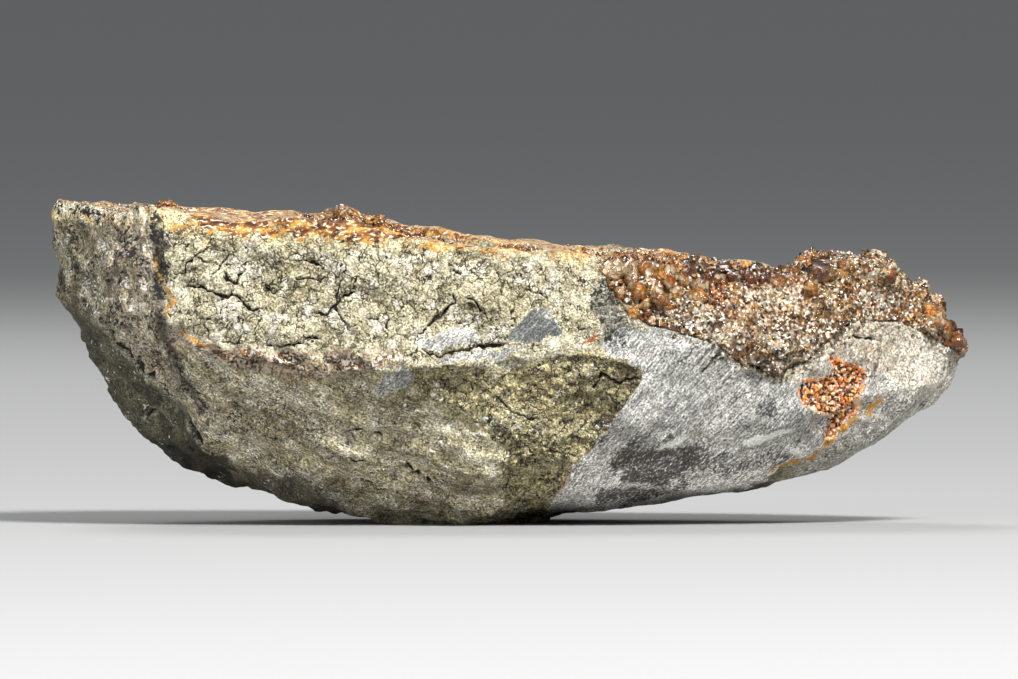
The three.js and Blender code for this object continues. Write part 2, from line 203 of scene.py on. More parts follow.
@dataclass(frozen=True)
class Patch:
    """A stretch of the wall inside an outline, which fades over its edge."""

    outline: Path
    soft: float = 0.7

    def cover(self, flat: Array) -> Array:
        """How far each point is inside, from 0 to 1.

        Args:
            flat: (x, z) positions.

        Returns:
            One number for each.
        """
        x, z = flat.T
        odd = np.zeros(len(flat), bool)
        for (ax, az), (bx, bz) in zip(self.outline, self.outline[1:] + self.outline[:1]):
            crosses = (az > z) != (bz > z)
            odd ^= crosses & (x < (bx - ax) * (z - az) / ((bz - az) or 1) + ax)
        edge = to_line(flat, self.outline + self.outline[:1])[0]
        return ease(np.where(odd, edge, -edge), -self.soft, self.soft)


@dataclass(frozen=True)
class Vein:
    """A thin stripe along a line."""

    path: Path
    width: float
    soft: float = 0.3

    def cover(self, flat: Array) -> Array:
        """How far each point is on the stripe, from 0 to 1."""
        return 1 - ease(to_line(flat, self.path)[0] - self.width / 2, -self.soft, self.soft)


@dataclass(frozen=True)
class Crack:
    """An open crack along a line, which narrows towards its ends."""

    path: Path
    width: float = 0.17

    def gap(self, flat: Array) -> Array:
        """How far each point is outside the crack, in millimetres, and below 0 inside it."""
        away, along = to_line(flat, self.path)
        return away - self.width / 2 * (1.1 - 0.9 * (2 * along - 1) ** 4)


@dataclass(frozen=True)
class Swell:
    """A broad swelling of the wall, or a hollow where its height is negative."""

    x: float
    z: float
    reach: tuple[float, float]
    height: float
    slant: float = 0

    def relief(self, flat: Array) -> Array:
        """The height that it adds at each point.

        Args:
            flat: (x, z) positions.

        Returns:
            One height for each.
        """
        away = flat - (self.x, self.z)
        away = np.stack([away[:, 0], away[:, 1] - self.slant * away[:, 0]], axis=1) / self.reach
        return self.height * (1 - ease(np.sqrt((away * away).sum(1)), 0, 1.25))


# ---- the front, as drawn

MUD = Patch(
    ((18.9, 52.9), (26.5, 54), (44.5, 52.9), (66.1, 50.8), (84.1, 48.6), (96.7, 46.8), (98.1, 41.8),
     (98.5, 36.7), (99.5, 33.1), (91.3, 31.5), (87.7, 30.4), (80.5, 30.6), (76.5, 30.4), (66.1, 29.9),
     (58.9, 31), (51.7, 31.7), (42.7, 31.9), (33.7, 32.4), (27.4, 33.7), (21.4, 36), (20.3, 41.8),
     (18.9, 46.8)), 1.2)
LEFT_PANEL = Patch(
    ((-3, 60), (17.5, 60), (17.5, 49), (18.5, 40), (20.7, 31), (22.9, 24.7), (20.2, 25.6), (15.7, 30.6),
     (10.6, 34.6), (7.6, 37.1), (3.1, 39.1), (-3, 41.8)), 1)
LEFT_CORNER = Patch(
    ((2.3, 56.7), (5.6, 56.9), (9.2, 56.2), (10.6, 55.1), (8.5, 54.4), (5.2, 54.7), (3.1, 55.4)))
LEFT_FACET = Patch(
    ((-3, 40.9), (4, 38.5), (8.1, 36.4), (14.2, 30.6), (20.3, 24.7), (26.1, 16.7), (32.2, 10.3),
     (32.2, 3), (8.5, 3), (-3, 25.6)), 0.9)
FOOT_FACET = Patch(((17.5, 15.5), (26.1, 15.1), (32.2, 9.4), (33.7, 4), (30, 0), (14, 4)), 0.5)
BROWN_FACET = Patch(((31.5, 9), (37.6, 9.4), (44.5, 8.3), (52.6, 5.4), (53.8, 1.8), (48, -1), (33.7, 1)), 0.9)
BROWN_BAND = Patch(
    ((21.4, 34.6), (27.4, 33.1), (33.7, 32.4), (42.7, 31.7), (51.7, 31), (62.5, 31.9), (63.2, 30.6),
     (55.3, 28.1), (49.9, 27), (44.5, 25.9), (37.3, 28.1), (31.9, 29.2), (25.7, 31), (22.1, 32.4)), 0.9)
RUST_KNOT = Patch(((49.9, 32.4), (53.8, 32.4), (54.2, 30.6), (53.5, 29), (50.9, 29.2), (49.5, 30.6)))
SLATES = (
    Patch(((84.8, 36.7), (86.4, 38.9), (89.1, 37.4), (91.4, 35.6), (90.5, 34), (86.9, 32.8), (81.9, 33.5),
           (83.3, 35.3)), 0.35),
    Patch(((86.4, 39.6), (88.6, 40), (89.6, 37.8), (88.7, 36.9), (86.6, 37.8)), 0.35),
    Patch(((66.4, 33.1), (68.9, 35.3), (75.1, 36), (77.6, 35.3), (75.1, 33.1), (69.7, 32.4),
           (67.5, 32.4)), 0.5),
    Patch(((68.6, 30.6), (75.1, 31.7), (82.6, 32.6), (85.9, 31.9), (80.5, 30.6), (71.8, 29.7)), 0.5),
    Patch(((57.4, 22.7), (61, 27.9), (62.5, 29), (64.6, 28.4), (65, 26.3), (62.8, 24.5), (60.3, 22.3)), 0.4),
)
SLATE_KNOT = Patch(((80.5, 37.4), (81.9, 38.3), (84.6, 38.9), (84.8, 37.4), (82.3, 36.4), (81, 36.4)), 0.4)
RECESS = Patch(
    ((64.3, 28.6), (69.7, 28.3), (76.3, 28.3), (82.1, 26.3), (85.9, 28.1), (91.4, 30.4), (100.3, 31.3),
     (106.7, 28.6), (105.8, 25.9), (99.2, 16.9), (97.9, 14.9), (94, 11.9), (91.8, 8.5), (89.8, 4.3),
     (87.7, -1), (83.2, -1), (80.5, 9.4), (80.5, 14.8), (75.1, 16.9), (69.7, 22), (65.3, 24.8)), 0.8)
RECESS_GREEN = Patch(
    ((84.1, 26.3), (91.4, 29.5), (100.6, 30.6), (105.7, 28.1), (104.9, 25.6), (100.6, 21.2), (96.7, 18.4),
     (91.3, 17.6), (85.9, 19.8), (82.6, 22)), 1)
SLAB = Patch(
    ((107.5, 36), (112.9, 36.9), (116.8, 35.3), (120.8, 31.9), (123.8, 28.4), (127.8, 27), (133.2, 26.5),
     (134.1, 22.9), (135, 19.8), (139.1, 14), (136.4, 11.7), (131.8, 10.4), (129.1, 7.9), (123.7, 4),
     (116.5, 1), (105.7, -1), (89, -1), (90.5, 4.3), (92.2, 8.5), (94.9, 11.9), (98.5, 15.8),
     (103.9, 22.7), (105.6, 26.4), (105.4, 28), (99.6, 30.8), (97.5, 32.9), (99.5, 34.6), (103.5, 36)), 0.5)
STAINS = (
    Patch(((99.5, 12.4), (102.1, 13.1), (105.5, 13.1), (112.1, 14), (116.8, 14.8), (118.3, 12.6),
           (116.5, 10.1), (114.7, 8.6), (108.9, 6.7), (101.3, 8.1), (99.2, 10.6)), 1),
    Patch(((97.4, 6.5), (101.3, 6.3), (106.4, 5.2), (110, 4.5), (106.4, 3.2), (101.9, 3.4),
           (98.3, 4.7)), 0.8),
    Patch(((127.3, 21.2), (128.7, 23), (130.9, 22.7), (131.6, 20.5), (129.8, 18.7), (128, 19.1)), 1),
    Patch(((116.5, 14), (123.7, 12.6), (129.1, 13.3), (134.5, 11.5), (129.1, 9.4), (120.1, 7.9),
           (116.5, 9.7)), 1.4),
)
CHALK = (
    Patch(((123.6, 14.6), (124.4, 13.9), (126.5, 14), (129.8, 15.5), (133.2, 16.7), (131.8, 17.1),
           (128.9, 16.4), (125.9, 15.5)), 0.25),
    Patch(((131.8, 12.9), (134.6, 12.2), (135, 12.9), (133.6, 13.6), (131.2, 13.1)), 0.25),
    Patch(((108.9, 14.4), (112.1, 15.5), (114.7, 16.2), (114.3, 15.3), (111.4, 13.7), (109.3, 13.3)), 0.5),
)
POCKET = Patch(
    ((140.2, 30.8), (139.3, 29.9), (140.6, 28.1), (139.1, 26.8), (134.6, 26.1), (134.1, 23.9), (134.6, 22),
     (137.7, 19.8), (139.3, 19.3), (140.2, 18.2), (138.8, 16.4), (139.1, 14), (141.1, 15.5),
     (145.3, 19.6), (145.8, 21.6), (145.3, 23), (147.2, 26.1), (146.3, 27.5), (144.9, 29), (142.4, 29)), 0.6)
TAIL_GRAIN = Patch(
    ((132.7, 27), (134.1, 31), (135.7, 35.5), (140.6, 37.8), (148, 37.8), (154.4, 36.7), (160.4, 33.3),
     (163.6, 31), (167, 27), (166, 23.4), (159.7, 21.6), (155.2, 23.4), (150.7, 26.3), (146.7, 28.1),
     (143.5, 30.6), (139.1, 30.6), (136.6, 28.1)), 1.5)
BLACK_VEIN = Patch(
    ((97.2, 44.3), (99.9, 43.9), (101.7, 40.7), (103.3, 37.8), (104.6, 35.3), (102.4, 31.9), (99.5, 31.9),
     (98.1, 34.6), (97.7, 40)), 0.6)

SEAM = Vein(((17.8, 57.1), (18.2, 53.5), (18.5, 49.3), (19.3, 44.5), (19.3, 40), (20.7, 34.6),
             (22.5, 29.2), (24.3, 24.7), (27.5, 20.5)), 2.4, 0.9)
# The pale line along the edge where the left facets meet the belly: a painted highlight.
RIDGE_HIGHLIGHT = Vein(
    ((22.9, 24.1), (28, 20.2), (31.1, 17), (35.1, 13.5), (42.7, 9.4), (49.9, 5.8), (57.1, 1.4)), 1.2, 0.9)
OCHRE = (
    Vein(((148.9, 22), (145.8, 19.3), (143.5, 17.6), (141.1, 15.5), (139.1, 14), (136.4, 11.7),
          (134.1, 10.8), (129.1, 9.5)), 1.1),
    Vein(((149, 22.3), (146.7, 19.1)), 0.9),
    Vein(((19.3, 45), (20, 43.6), (21.1, 42.5), (22, 40), (21.1, 38.5)), 1.2, 0.6),
    Vein(((18.4, 50), (18.7, 46.8), (19.8, 45)), 0.6),
    Vein(((23.9, 34.9), (25.7, 33.8), (27.5, 32.4), (30.1, 31.5)), 0.8),
)
RUST = (
    Vein(((108.5, 34.6), (108.2, 32.8), (107.1, 30.6), (106.6, 29.7)), 0.4, 0.25),
    Vein(((105.8, 25.9), (107.3, 23.8), (109.3, 21.4)), 0.25, 0.2),
    Vein(((92.2, 9), (91.8, 7.2), (91.4, 4.7)), 0.4),
    Vein(((89.6, 10.8), (89.5, 8.6)), 0.35, 0.25),
    Vein(((142, 37.8), (142.2, 36), (141.4, 34.6)), 0.45, 0.25),
    Vein(((144.3, 37.6), (145.2, 36), (145.8, 34.2)), 0.45, 0.25),
    Vein(((140.2, 31.7), (140.4, 29.9), (141.3, 28.1)), 0.6),
    Vein(((94.3, 32.8), (96.7, 33.8), (98.1, 34.4)), 0.6),
)
PALE = (
    Vein(((56.2, 26.3), (56.3, 23.4), (57.1, 21.6), (58.9, 18.4)), 0.7),
    Vein(((63.2, 22.3), (64.6, 20.9), (63.5, 17.6)), 0.8),
    Vein(((75.1, 18.4), (79.4, 19.8), (84.1, 17.6), (89.8, 16.9)), 1.2, 0.8),
    Vein(((81, 20), (79.9, 14.8), (79, 9.4)), 1, 0.8),
    Vein(((65, 25.2), (68.2, 23), (71.8, 21.2), (75.1, 18.4), (77.6, 16.6)), 1, 0.7),
    Vein(((99.5, 8.6), (103.3, 7), (106.9, 6.1), (111.4, 5.2), (115, 5)), 0.7, 0.4),
)
# The open cracks of the front, as (x, z) lines with widths. They are sunk into the stone and painted dark
# inside: painted shade in the gaps, and along some the shade under a ledge.
CRACKS = (
    Crack(((23.8, 44.9), (25, 47.4), (26.8, 48.7), (28.3, 49.7), (30.9, 49.4))),
    Crack(((28.6, 44.9), (30.9, 46.6), (31.4, 47.4), (32.1, 48.7)), 0.29),
    Crack(((26.8, 47.9), (27.6, 47.1), (29.1, 47.1), (30.6, 46.5))),
    Crack(((30.9, 46.1), (31.9, 44.9), (32.9, 43.8), (33.6, 44.1), (33.9, 45.4), (35.1, 46)), 0.27),
    Crack(((23.7, 42.8), (25.5, 43.2), (27.1, 43.1), (28.1, 42.3), (29.6, 42.1), (30.6, 41.1),
           (31.6, 41.1), (32.1, 42.1), (33.6, 40.9), (34.6, 40.2), (36.1, 39.1), (38.4, 38.8)), 0.32),
    Crack(((25.8, 38.3), (27.6, 36.8), (28.1, 35.8), (28.8, 34.5))),
    Crack(((27.6, 36.8), (29.3, 37.5))),
    Crack(((30.9, 33.2), (32.6, 32.7), (33.9, 33), (34.3, 33.8)), 0.29),
    Crack(((38.7, 32.7), (44, 32.4), (46.5, 33.9), (48.5, 33.4)), 0.29),
    Crack(((47, 38.3), (49, 38.3), (50.8, 39.6), (52.1, 41.1), (54.6, 42.1)), 0.35),
    Crack(((52, 44.9), (51.6, 42.1), (50.8, 39.6), (52.6, 36.8), (53.3, 35.5)), 0.27),
    Crack(((44, 44.6), (49, 44.5)), 0.29),
    Crack(((43.7, 47.6), (46.8, 47.4), (48.5, 47.1))),
    Crack(((38.7, 43.6), (40.2, 42.3), (41.5, 42.6))),
    Crack(((21.8, 45.7), (22.5, 45), (23.9, 45.2), (23.8, 44.9))),
    Crack(((63.2, 33.8), (66.8, 35.4), (68.5, 37.1), (70.9, 38.6), (72.5, 40.5), (72.2, 42)), 0.27),
    Crack(((72.2, 46.2), (74, 45.4), (74.7, 46))),
    Crack(((73.7, 41.1), (75.6, 40.6), (77.5, 38.9)), 0.21),
    Crack(((86.1, 42), (88.9, 41.4)), 0.29),
    Crack(((94.2, 36), (96.4, 35.5))),
    Crack(((66.6, 32.1), (69.7, 31.2), (72.2, 31.8), (76.2, 32.4), (79.3, 32.9), (81.8, 33)), 0.35),
    Crack(((60.1, 39.2), (60.4, 36.4), (60.6, 34.9))),
    Crack(((56.4, 37.4), (58.5, 37.7))),
    Crack(((72.8, 36.8), (74.7, 36.9))),
    Crack(((8.1, 36.4), (11, 34), (14.2, 30.6), (17.1, 27.4), (20.3, 24.7), (22.9, 21.2), (26.1, 16.7),
           (29.3, 13.1)), 0.29),
    Crack(((2.9, 53.3), (3.4, 54), (4.7, 54.2), (5.6, 53.3)), 0.21),
    Crack(((53.3, 16.4), (54.5, 17.1), (56.7, 17.1), (58.3, 16.4), (59.8, 15.7)), 0.41),
    Crack(((49.9, 12.2), (52.6, 12.6), (56.7, 11.7))),
    Crack(((59.4, 10.4), (63.2, 10.1), (67, 8.6), (71.1, 7)), 0.21),
    Crack(((54.2, 7.6), (57.4, 7), (58.9, 5.9), (64.3, 5.4)), 0.21),
    Crack(((91.4, 18.4), (90.5, 15.5), (89.5, 13.3), (91.8, 12.6), (92.3, 10.8), (90.9, 8.3))),
    Crack(((79.7, 23.6), (81.5, 21.6), (84.1, 20.2), (87.7, 18.7))),
    Crack(((96.7, 24.1), (98.6, 27), (102.1, 25.4), (105.7, 27)), 0.29),
    Crack(((139.3, 33.5), (140.9, 32.9), (142.9, 33.3), (144.7, 33.7), (147.4, 33.3), (150.1, 32.2)), 0.21),
    Crack(((140.9, 38), (142.9, 38.2), (146.5, 37.9)), 0.23),
    Crack(((17.1, 18.9), (17.6, 20), (19.6, 20)), 0.21),
    Crack(((59.2, 23.4), (60.8, 23.9), (62.3, 25))),
    Crack(((116.5, 27.7), (118.6, 29.5), (120.8, 31.5)), 0.21),
    Crack(((117.5, 28.1), (119.5, 29.5), (121.5, 31))),
)

# The broad swellings of the mud band and the belly.
SWELLS = (
    Swell(28, 46.3, (7.5, 4), 0.9), Swell(29, 37.3, (9, 3.6), 0.9), Swell(43, 36.2, (8, 3), 0.8),
    Swell(42, 42, (9, 2.4), -1.0, -0.35), Swell(40, 49, (9, 2.6), 0.7), Swell(57, 46, (8, 4.5), 0.8),
    Swell(57, 36, (7, 3), 0.7), Swell(72, 43.5, (7, 4), 0.6), Swell(66, 39, (2.6, 2), -0.6),
    Swell(84, 44, (8, 4), 0.5), Swell(92, 39, (5, 5), 0.6), Swell(56, 18.6, (9, 1.8), 0.9, -0.2),
    Swell(54, 13.4, (10, 1.8), 0.8, -0.2), Swell(43, 24, (10, 3), 0.6, -0.3),
    Swell(66, 12.4, (9, 1.8), 0.6, -0.3), Swell(40, 14.5, (9, 2.4), 0.8, -0.45),
    Swell(73, 24.5, (6, 3), -0.5), Swell(96, 27.3, (8, 1.8), 0.5), Swell(103.5, 27.6, (3, 1.3), -0.8),
)

# How far the belly's beds have come down at each x.
BEDS = ((-5, -6), (15, 15), (30, 27), (45, 36.5), (60, 43), (80, 48), (110, 51), (170, 54))

# The stained strips under the rim: from x, to x, how far they come down, colour, how glassy they are.
RIM_STRIPS = (
    (-2, 17, 1.4, 0xF0E8CC, 0.15),
    (17, 27, 1.7, 0xE0D2A0, 0.42),
    (26, 59, 2.7, 0x9A6A3C, 0.95),
    (57, 70, 1.9, 0xB08A58, 0.7),
    (69, 98, 0.7, 0xB9762F, 0.6),
)

# The top of the whole specimen, and the edge where its front turns over, as (x, z).
SKYLINE = (
    (0, 46.3), (3.6, 57.8), (18, 58.7), (25.2, 56.9), (36, 56.9), (50.4, 57.1), (57.6, 54.9), (68.4, 54.2),
    (72, 51.1), (79.2, 50.9), (90, 49.5), (100.8, 49.7), (115.2, 47.9), (126, 46.6), (133.2, 47.2),
    (136.8, 49), (140.4, 50.2), (147.6, 49), (151.2, 48.1), (154.8, 44.6), (158.4, 41.4), (162, 38.7),
    (165, 31),
)
RIM_LINE = (
    (0, 57.6), (17, 57), (26, 56.3), (45, 55.3), (60, 53.8), (70, 51.8), (80, 50.3), (97, 49.4), (110, 48),
    (134, 45.6), (150, 41.6), (160, 35.6), (165, 32.4),
)


# ---- meshes and nodes


def settle(piece: Piece) -> None:
    """Applies a piece's modifiers to its mesh.

    Args:
        piece: the piece, which keeps the result.
    """
    graph = bpy.context.evaluated_depsgraph_get()
    finished = bpy.data.meshes.new_from_object(piece.evaluated_get(graph))
    raw = piece.data
    piece.modifiers.clear()
    piece.data = finished
    bpy.data.meshes.remove(raw)


def new_piece(name: str, mesh: Mesh) -> Piece:
    """An object of that mesh, in the scene.

    Args:
        name: its name.
        mesh: its mesh, which takes the same name.

    Returns:
        The object.
    """
    mesh.name = name
    piece = bpy.data.objects.new(name, mesh)
    bpy.context.scene.collection.objects.link(piece)
    return piece


def copy_of(node: str, name: str, voxel: float) -> Piece:
    """Copies a solid as an even, closed mesh.

    Args:
        node: the solid's name in the frame.
        name: the new piece's name.
        voxel: the length of its faces, in metres.

    Returns:
        The new piece.
    """
    shape = bmesh.new()
    shape.from_mesh(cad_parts[node].data)
    bmesh.ops.remove_doubles(shape, verts=shape.verts, dist=1e-6)
    mesh = bpy.data.meshes.new(name)
    shape.to_mesh(mesh)
    shape.free()
    piece = new_piece(name, mesh)
    remesh = piece.modifiers.new("remesh", "REMESH")
    remesh.mode = "VOXEL"
    remesh.voxel_size = voxel
    settle(piece)
    return piece


def read_rows(items: bpy.types.bpy_prop_collection, name: str) -> Array:
    """Reads a direction or a place from each of a mesh's items.

    Args:
        items: the items.
        name: what they call it.

    Returns:
        One row of three for each.
    """
    flat = np.empty(len(items) * 3, np.float32)
    items.foreach_get(name, flat)
    return flat.reshape(-1, 3).astype(float)


def positions(mesh: Mesh) -> Array:
    """The corners of a mesh in specimen millimetres, three to a row."""
    return read_rows(mesh.vertices, "co") / MM + DATUM


def place(mesh: Mesh, points: Array) -> None:
    """Moves the corners of a mesh to these specimen millimetres."""
    mesh.vertices.foreach_set("co", ((points - DATUM) * MM).astype(np.float32).ravel())
    mesh.update()


def normals(mesh: Mesh) -> Array:
    """The outward direction at each corner of a mesh."""
    return read_rows(mesh.vertex_normals, "vector")


def keep_values(mesh: Mesh, name: str, values: Array) -> None:
    """Stores one number for each corner, for the materials to read."""
    mesh.attributes.new(name, "FLOAT", "POINT").data.foreach_set("value", values.astype(np.float32))


def keep_colours(mesh: Mesh, name: str, colours: Array) -> None:
    """Stores one colour for each corner, for the materials to read."""
    opaque = np.concatenate([colours, np.ones((len(colours), 1))], axis=1).astype(np.float32)
    mesh.attributes.new(name, "FLOAT_COLOR", "POINT").data.foreach_set("color", opaque.ravel())


def tree_of(mesh: Mesh) -> BVHTree:
    """The mesh's faces, to be searched by place or along a ray."""
    faces = [face.vertices[:] for face in mesh.polygons]
    return BVHTree.FromPolygons([corner.co.to_tuple() for corner in mesh.vertices], faces)


def to_metres(spot: Array) -> Vector:
    """A place in specimen millimetres, in the frame's metres."""
    return Vector((spot - DATUM) * MM)


def thin_out(piece: Piece, faces: int, needed: Array | None = None) -> None:
    """Brings a piece down to about that many triangles, first where it is smooth.

    Args:
        piece: the piece.
        faces: how many triangles stay.
        needed: for each corner, from 0 to 1, how much its detail is needed.
    """
    now = sum(len(face.vertices) - 2 for face in piece.data.polygons)
    if now <= faces:
        return
    thin = piece.modifiers.new("thin", "DECIMATE")
    thin.ratio = faces / now
    if needed is not None:
        group = piece.vertex_groups.new(name="needed")
        steps = np.round(needed * 8).astype(int)
        for step in range(9):
            group.add(np.nonzero(steps == step)[0].tolist(), 1 - 0.98 * step / 8, "REPLACE")
        thin.vertex_group, thin.vertex_group_factor = "needed", 1e-5
    settle(piece)
    piece.vertex_groups.clear()


def finish_piece(piece: Piece, material: bpy.types.Material, node: str) -> None:
    """Gives a piece its material, hangs it on the root, hides the solid that it replaces and logs its
    triangles.

    Args:
        piece: the finished piece.
        material: its only material.
        node: the solid that it replaces.
    """
    piece.data.materials.clear()
    piece.data.materials.append(material)
    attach(piece, "root")
    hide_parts(node)
    triangles = sum(len(face.vertices) - 2 for face in piece.data.polygons)
    log.info("%s: %d triangles", piece.name, triangles)


Socket = bpy.types.NodeSocket
Wired = Socket | float | tuple[float, ...]


class Wiring:
    """A material's node tree, with short ways to add what the finishes need."""

    def __init__(self, name: str) -> None:
        """Starts an empty material.

        Args:
            name: the material's name.
        """
        self.material = bpy.data.materials.new(name)
        self.material.use_nodes = True
        self.tree = self.material.node_tree
        self.tree.nodes.clear()
        self.place = self.node("TexCoord").outputs["Object"]

    def node(self, kind: str, settings: dict[str, object] | None = None, **sockets: Wired) -> Node:
        """Adds a node.

        Args:
            kind: the kind of node, without ShaderNode.
            settings: its properties.
            sockets: its inputs by name, with _ for a space, each a value or an output to link.

        Returns:
            The node.
        """
        made = self.tree.nodes.new("ShaderNode" + kind)
        for key, value in (settings or {}).items():
            setattr(made, key, value)
        for key, value in sockets.items():
            self.feed(made.inputs[key.replace("_", " ")], value)
        return made

    def feed(self, socket: Socket, value: Wired) -> None:
        """Links an output to a socket, or sets its value."""
        if isinstance(value, Socket):
            self.tree.links.new(value, socket)
        else:
            socket.default_value = value

    def value(self, name: str) -> Socket:
        """One of the mesh's stored numbers."""
        return self.node("Attribute", {"attribute_name": name}).outputs["Fac"]

    def colour(self, name: str) -> Socket:
        """One of the mesh's stored colours."""
        return self.node("Attribute", {"attribute_name": name}).outputs["Color"]

    def sum(self, kind: str, *terms: Wired, by: str = "Math") -> Socket:
        """Works on numbers, or on vectors.

        Args:
            kind: what is done: ADD, MAXIMUM and so on.
            terms: the numbers or vectors, in order.
            by: the node that does it.

        Returns:
            The result.
        """
        made = self.node(by, {"operation": kind})
        for socket, term in zip(made.inputs, terms):
            self.feed(socket, term)
        return made.outputs[0]

    def vectors(self, kind: str, *terms: Wired) -> Socket:
        """Works on vectors."""
        return self.sum(kind, *terms, by="VectorMath")

    def plus(self, first: Wired, second: Wired) -> Socket:
        """Adds two numbers."""
        return self.sum("ADD", first, second)

    def minus(self, first: Wired, second: Wired) -> Socket:
        """Takes the second number from the first."""
        return self.sum("SUBTRACT", first, second)

    def times(self, first: Wired, second: Wired) -> Socket:
        """Multiplies two numbers."""
        return self.sum("MULTIPLY", first, second)

    def rise(self, value: Wired, low: float, high: float, start: float = 0, end: float = 1) -> Socket:
        """A smooth step from start, where value is low, to end, where it is high."""
        made = self.node(
            "MapRange", {"interpolation_type": "SMOOTHSTEP"},
            Value=value, From_Min=low, From_Max=high, To_Min=start, To_Max=end,
        )
        return made.outputs[0]

    def blend(self, share: Wired, first: Wired, second: Wired, kind: str = "MIX") -> Socket:
        """Mixes two colours.

        Args:
            share: how much of the second is in the mix.
            first: the lower colour.
            second: the upper colour.
            kind: how they mix.

        Returns:
            The mixed colour.
        """
        made = self.node("Mix", {"data_type": "RGBA", "blend_type": kind})
        for index, value in ((0, share), (6, first), (7, second)):
            if isinstance(value, np.ndarray):
                value = (*value, 1.0)
            self.feed(made.inputs[index], value)
        return made.outputs[2]

    def grey(self, value: Socket) -> Socket:
        """A grey of that value, as a colour."""
        return self.node("CombineColor", Red=value, Green=value, Blue=value).outputs[0]

    def shaded(self, tone: Wired, value: Socket) -> Socket:
        """The tone, made lighter or darker by that value."""
        return self.blend(1.0, tone, self.grey(value), "MULTIPLY")

    def channel(self, cell: Node, index: int) -> Socket:
        """One of the three random numbers of each cell."""
        return self.node("SeparateColor", Color=cell.outputs["Color"]).outputs[index]

    def warped(self, size: float, reach: float) -> Socket:
        """The place, moved by noise so that patterns on it turn ragged; lengths in millimetres."""
        cloud = self.node("TexNoise", Vector=self.place, Scale=1 / (size * MM), Detail=3.0)
        return self.vectors("MULTIPLY_ADD", cloud.outputs["Color"], (reach * MM,) * 3, self.place)

    def gaps(self, size: float, place: Socket) -> Socket:
        """How far each place is from the edges of random cells, as a share of their size."""
        walls = {"feature": "DISTANCE_TO_EDGE"}
        return self.node("TexVoronoi", walls, Vector=place, Scale=1 / (size * MM)).outputs["Distance"]

    def clouds(self, size: float, detail: float = 4, place: Socket | None = None) -> Socket:
        """Noise whose lumps are size millimetres apart, from 0 to 1."""
        sockets = {"Scale": 1 / (size * MM), "Detail": detail, "Roughness": 0.6}
        return self.node("TexNoise", Vector=place or self.place, **sockets).outputs["Fac"]

    def grains(self, size: float, place: Socket | None = None) -> Node:
        """Random cells, size millimetres apart."""
        return self.node("TexVoronoi", Vector=place or self.place, Scale=1 / (size * MM))

    def turned(self, angles: tuple[float, float, float], scale: tuple[float, float, float]) -> Socket:
        """The place, turned by angles in degrees and then scaled."""
        turn = self.node("Mapping", Vector=self.place, Rotation=tuple(map(math.radians, angles)))
        return self.node("Mapping", Vector=turn.outputs[0], Scale=scale).outputs[0]

    def tilted(self, cell: Node, reach: float) -> Socket:
        """The normal, tilted another way in each cell.

        Args:
            cell: the cells.
            reach: how far it tilts, as a share.

        Returns:
            The normal.
        """
        lean = self.vectors("SUBTRACT", cell.outputs["Color"], (0.5, 0.5, 0.5))
        straight = self.node("NewGeometry").outputs["Normal"]
        return self.vectors("NORMALIZE", self.vectors("MULTIPLY_ADD", lean, (reach,) * 3, straight))

    def bump(self, height: Socket, depth: float, under: Socket | None = None, strength: Wired = 1) -> Socket:
        """A normal that stands for relief of that depth, in millimetres, over another bump.

        Args:
            height: the relief, from 0 to 1.
            depth: how deep it is.
            under: the bump that it lies on.
            strength: how much of it shows.

        Returns:
            The normal.
        """
        made = self.node("Bump", Height=height, Distance=depth * MM, Strength=strength)
        if under is not None:
            self.feed(made.inputs["Normal"], under)
        return made.outputs[0]

    def done(self, surface: Node, volume: Node | None = None) -> bpy.types.Material:
        """Links the shaders to the output and gives the material.

        Args:
            surface: the surface's shader.
            volume: the shader of what is inside.

        Returns:
            The finished material.
        """
        output = self.node("OutputMaterial", Surface=surface.outputs[0])
        if volume is not None:
            self.feed(output.inputs["Volume"], volume.outputs[0])
        return self.material


# ---- finishes


@dataclass(frozen=True)
class Crackle:
    """A net of fine cracks: its cells, how wide it opens, the size of its patches and how rare they are."""

    size: float
    width: float
    patches: float
    spread: float


CRACKLES = (Crackle(3.0, 0.045, 5.0, 0.42), Crackle(1.5, 0.055, 3.2, 0.53), Crackle(0.75, 0.08, 2.2, 0.57))


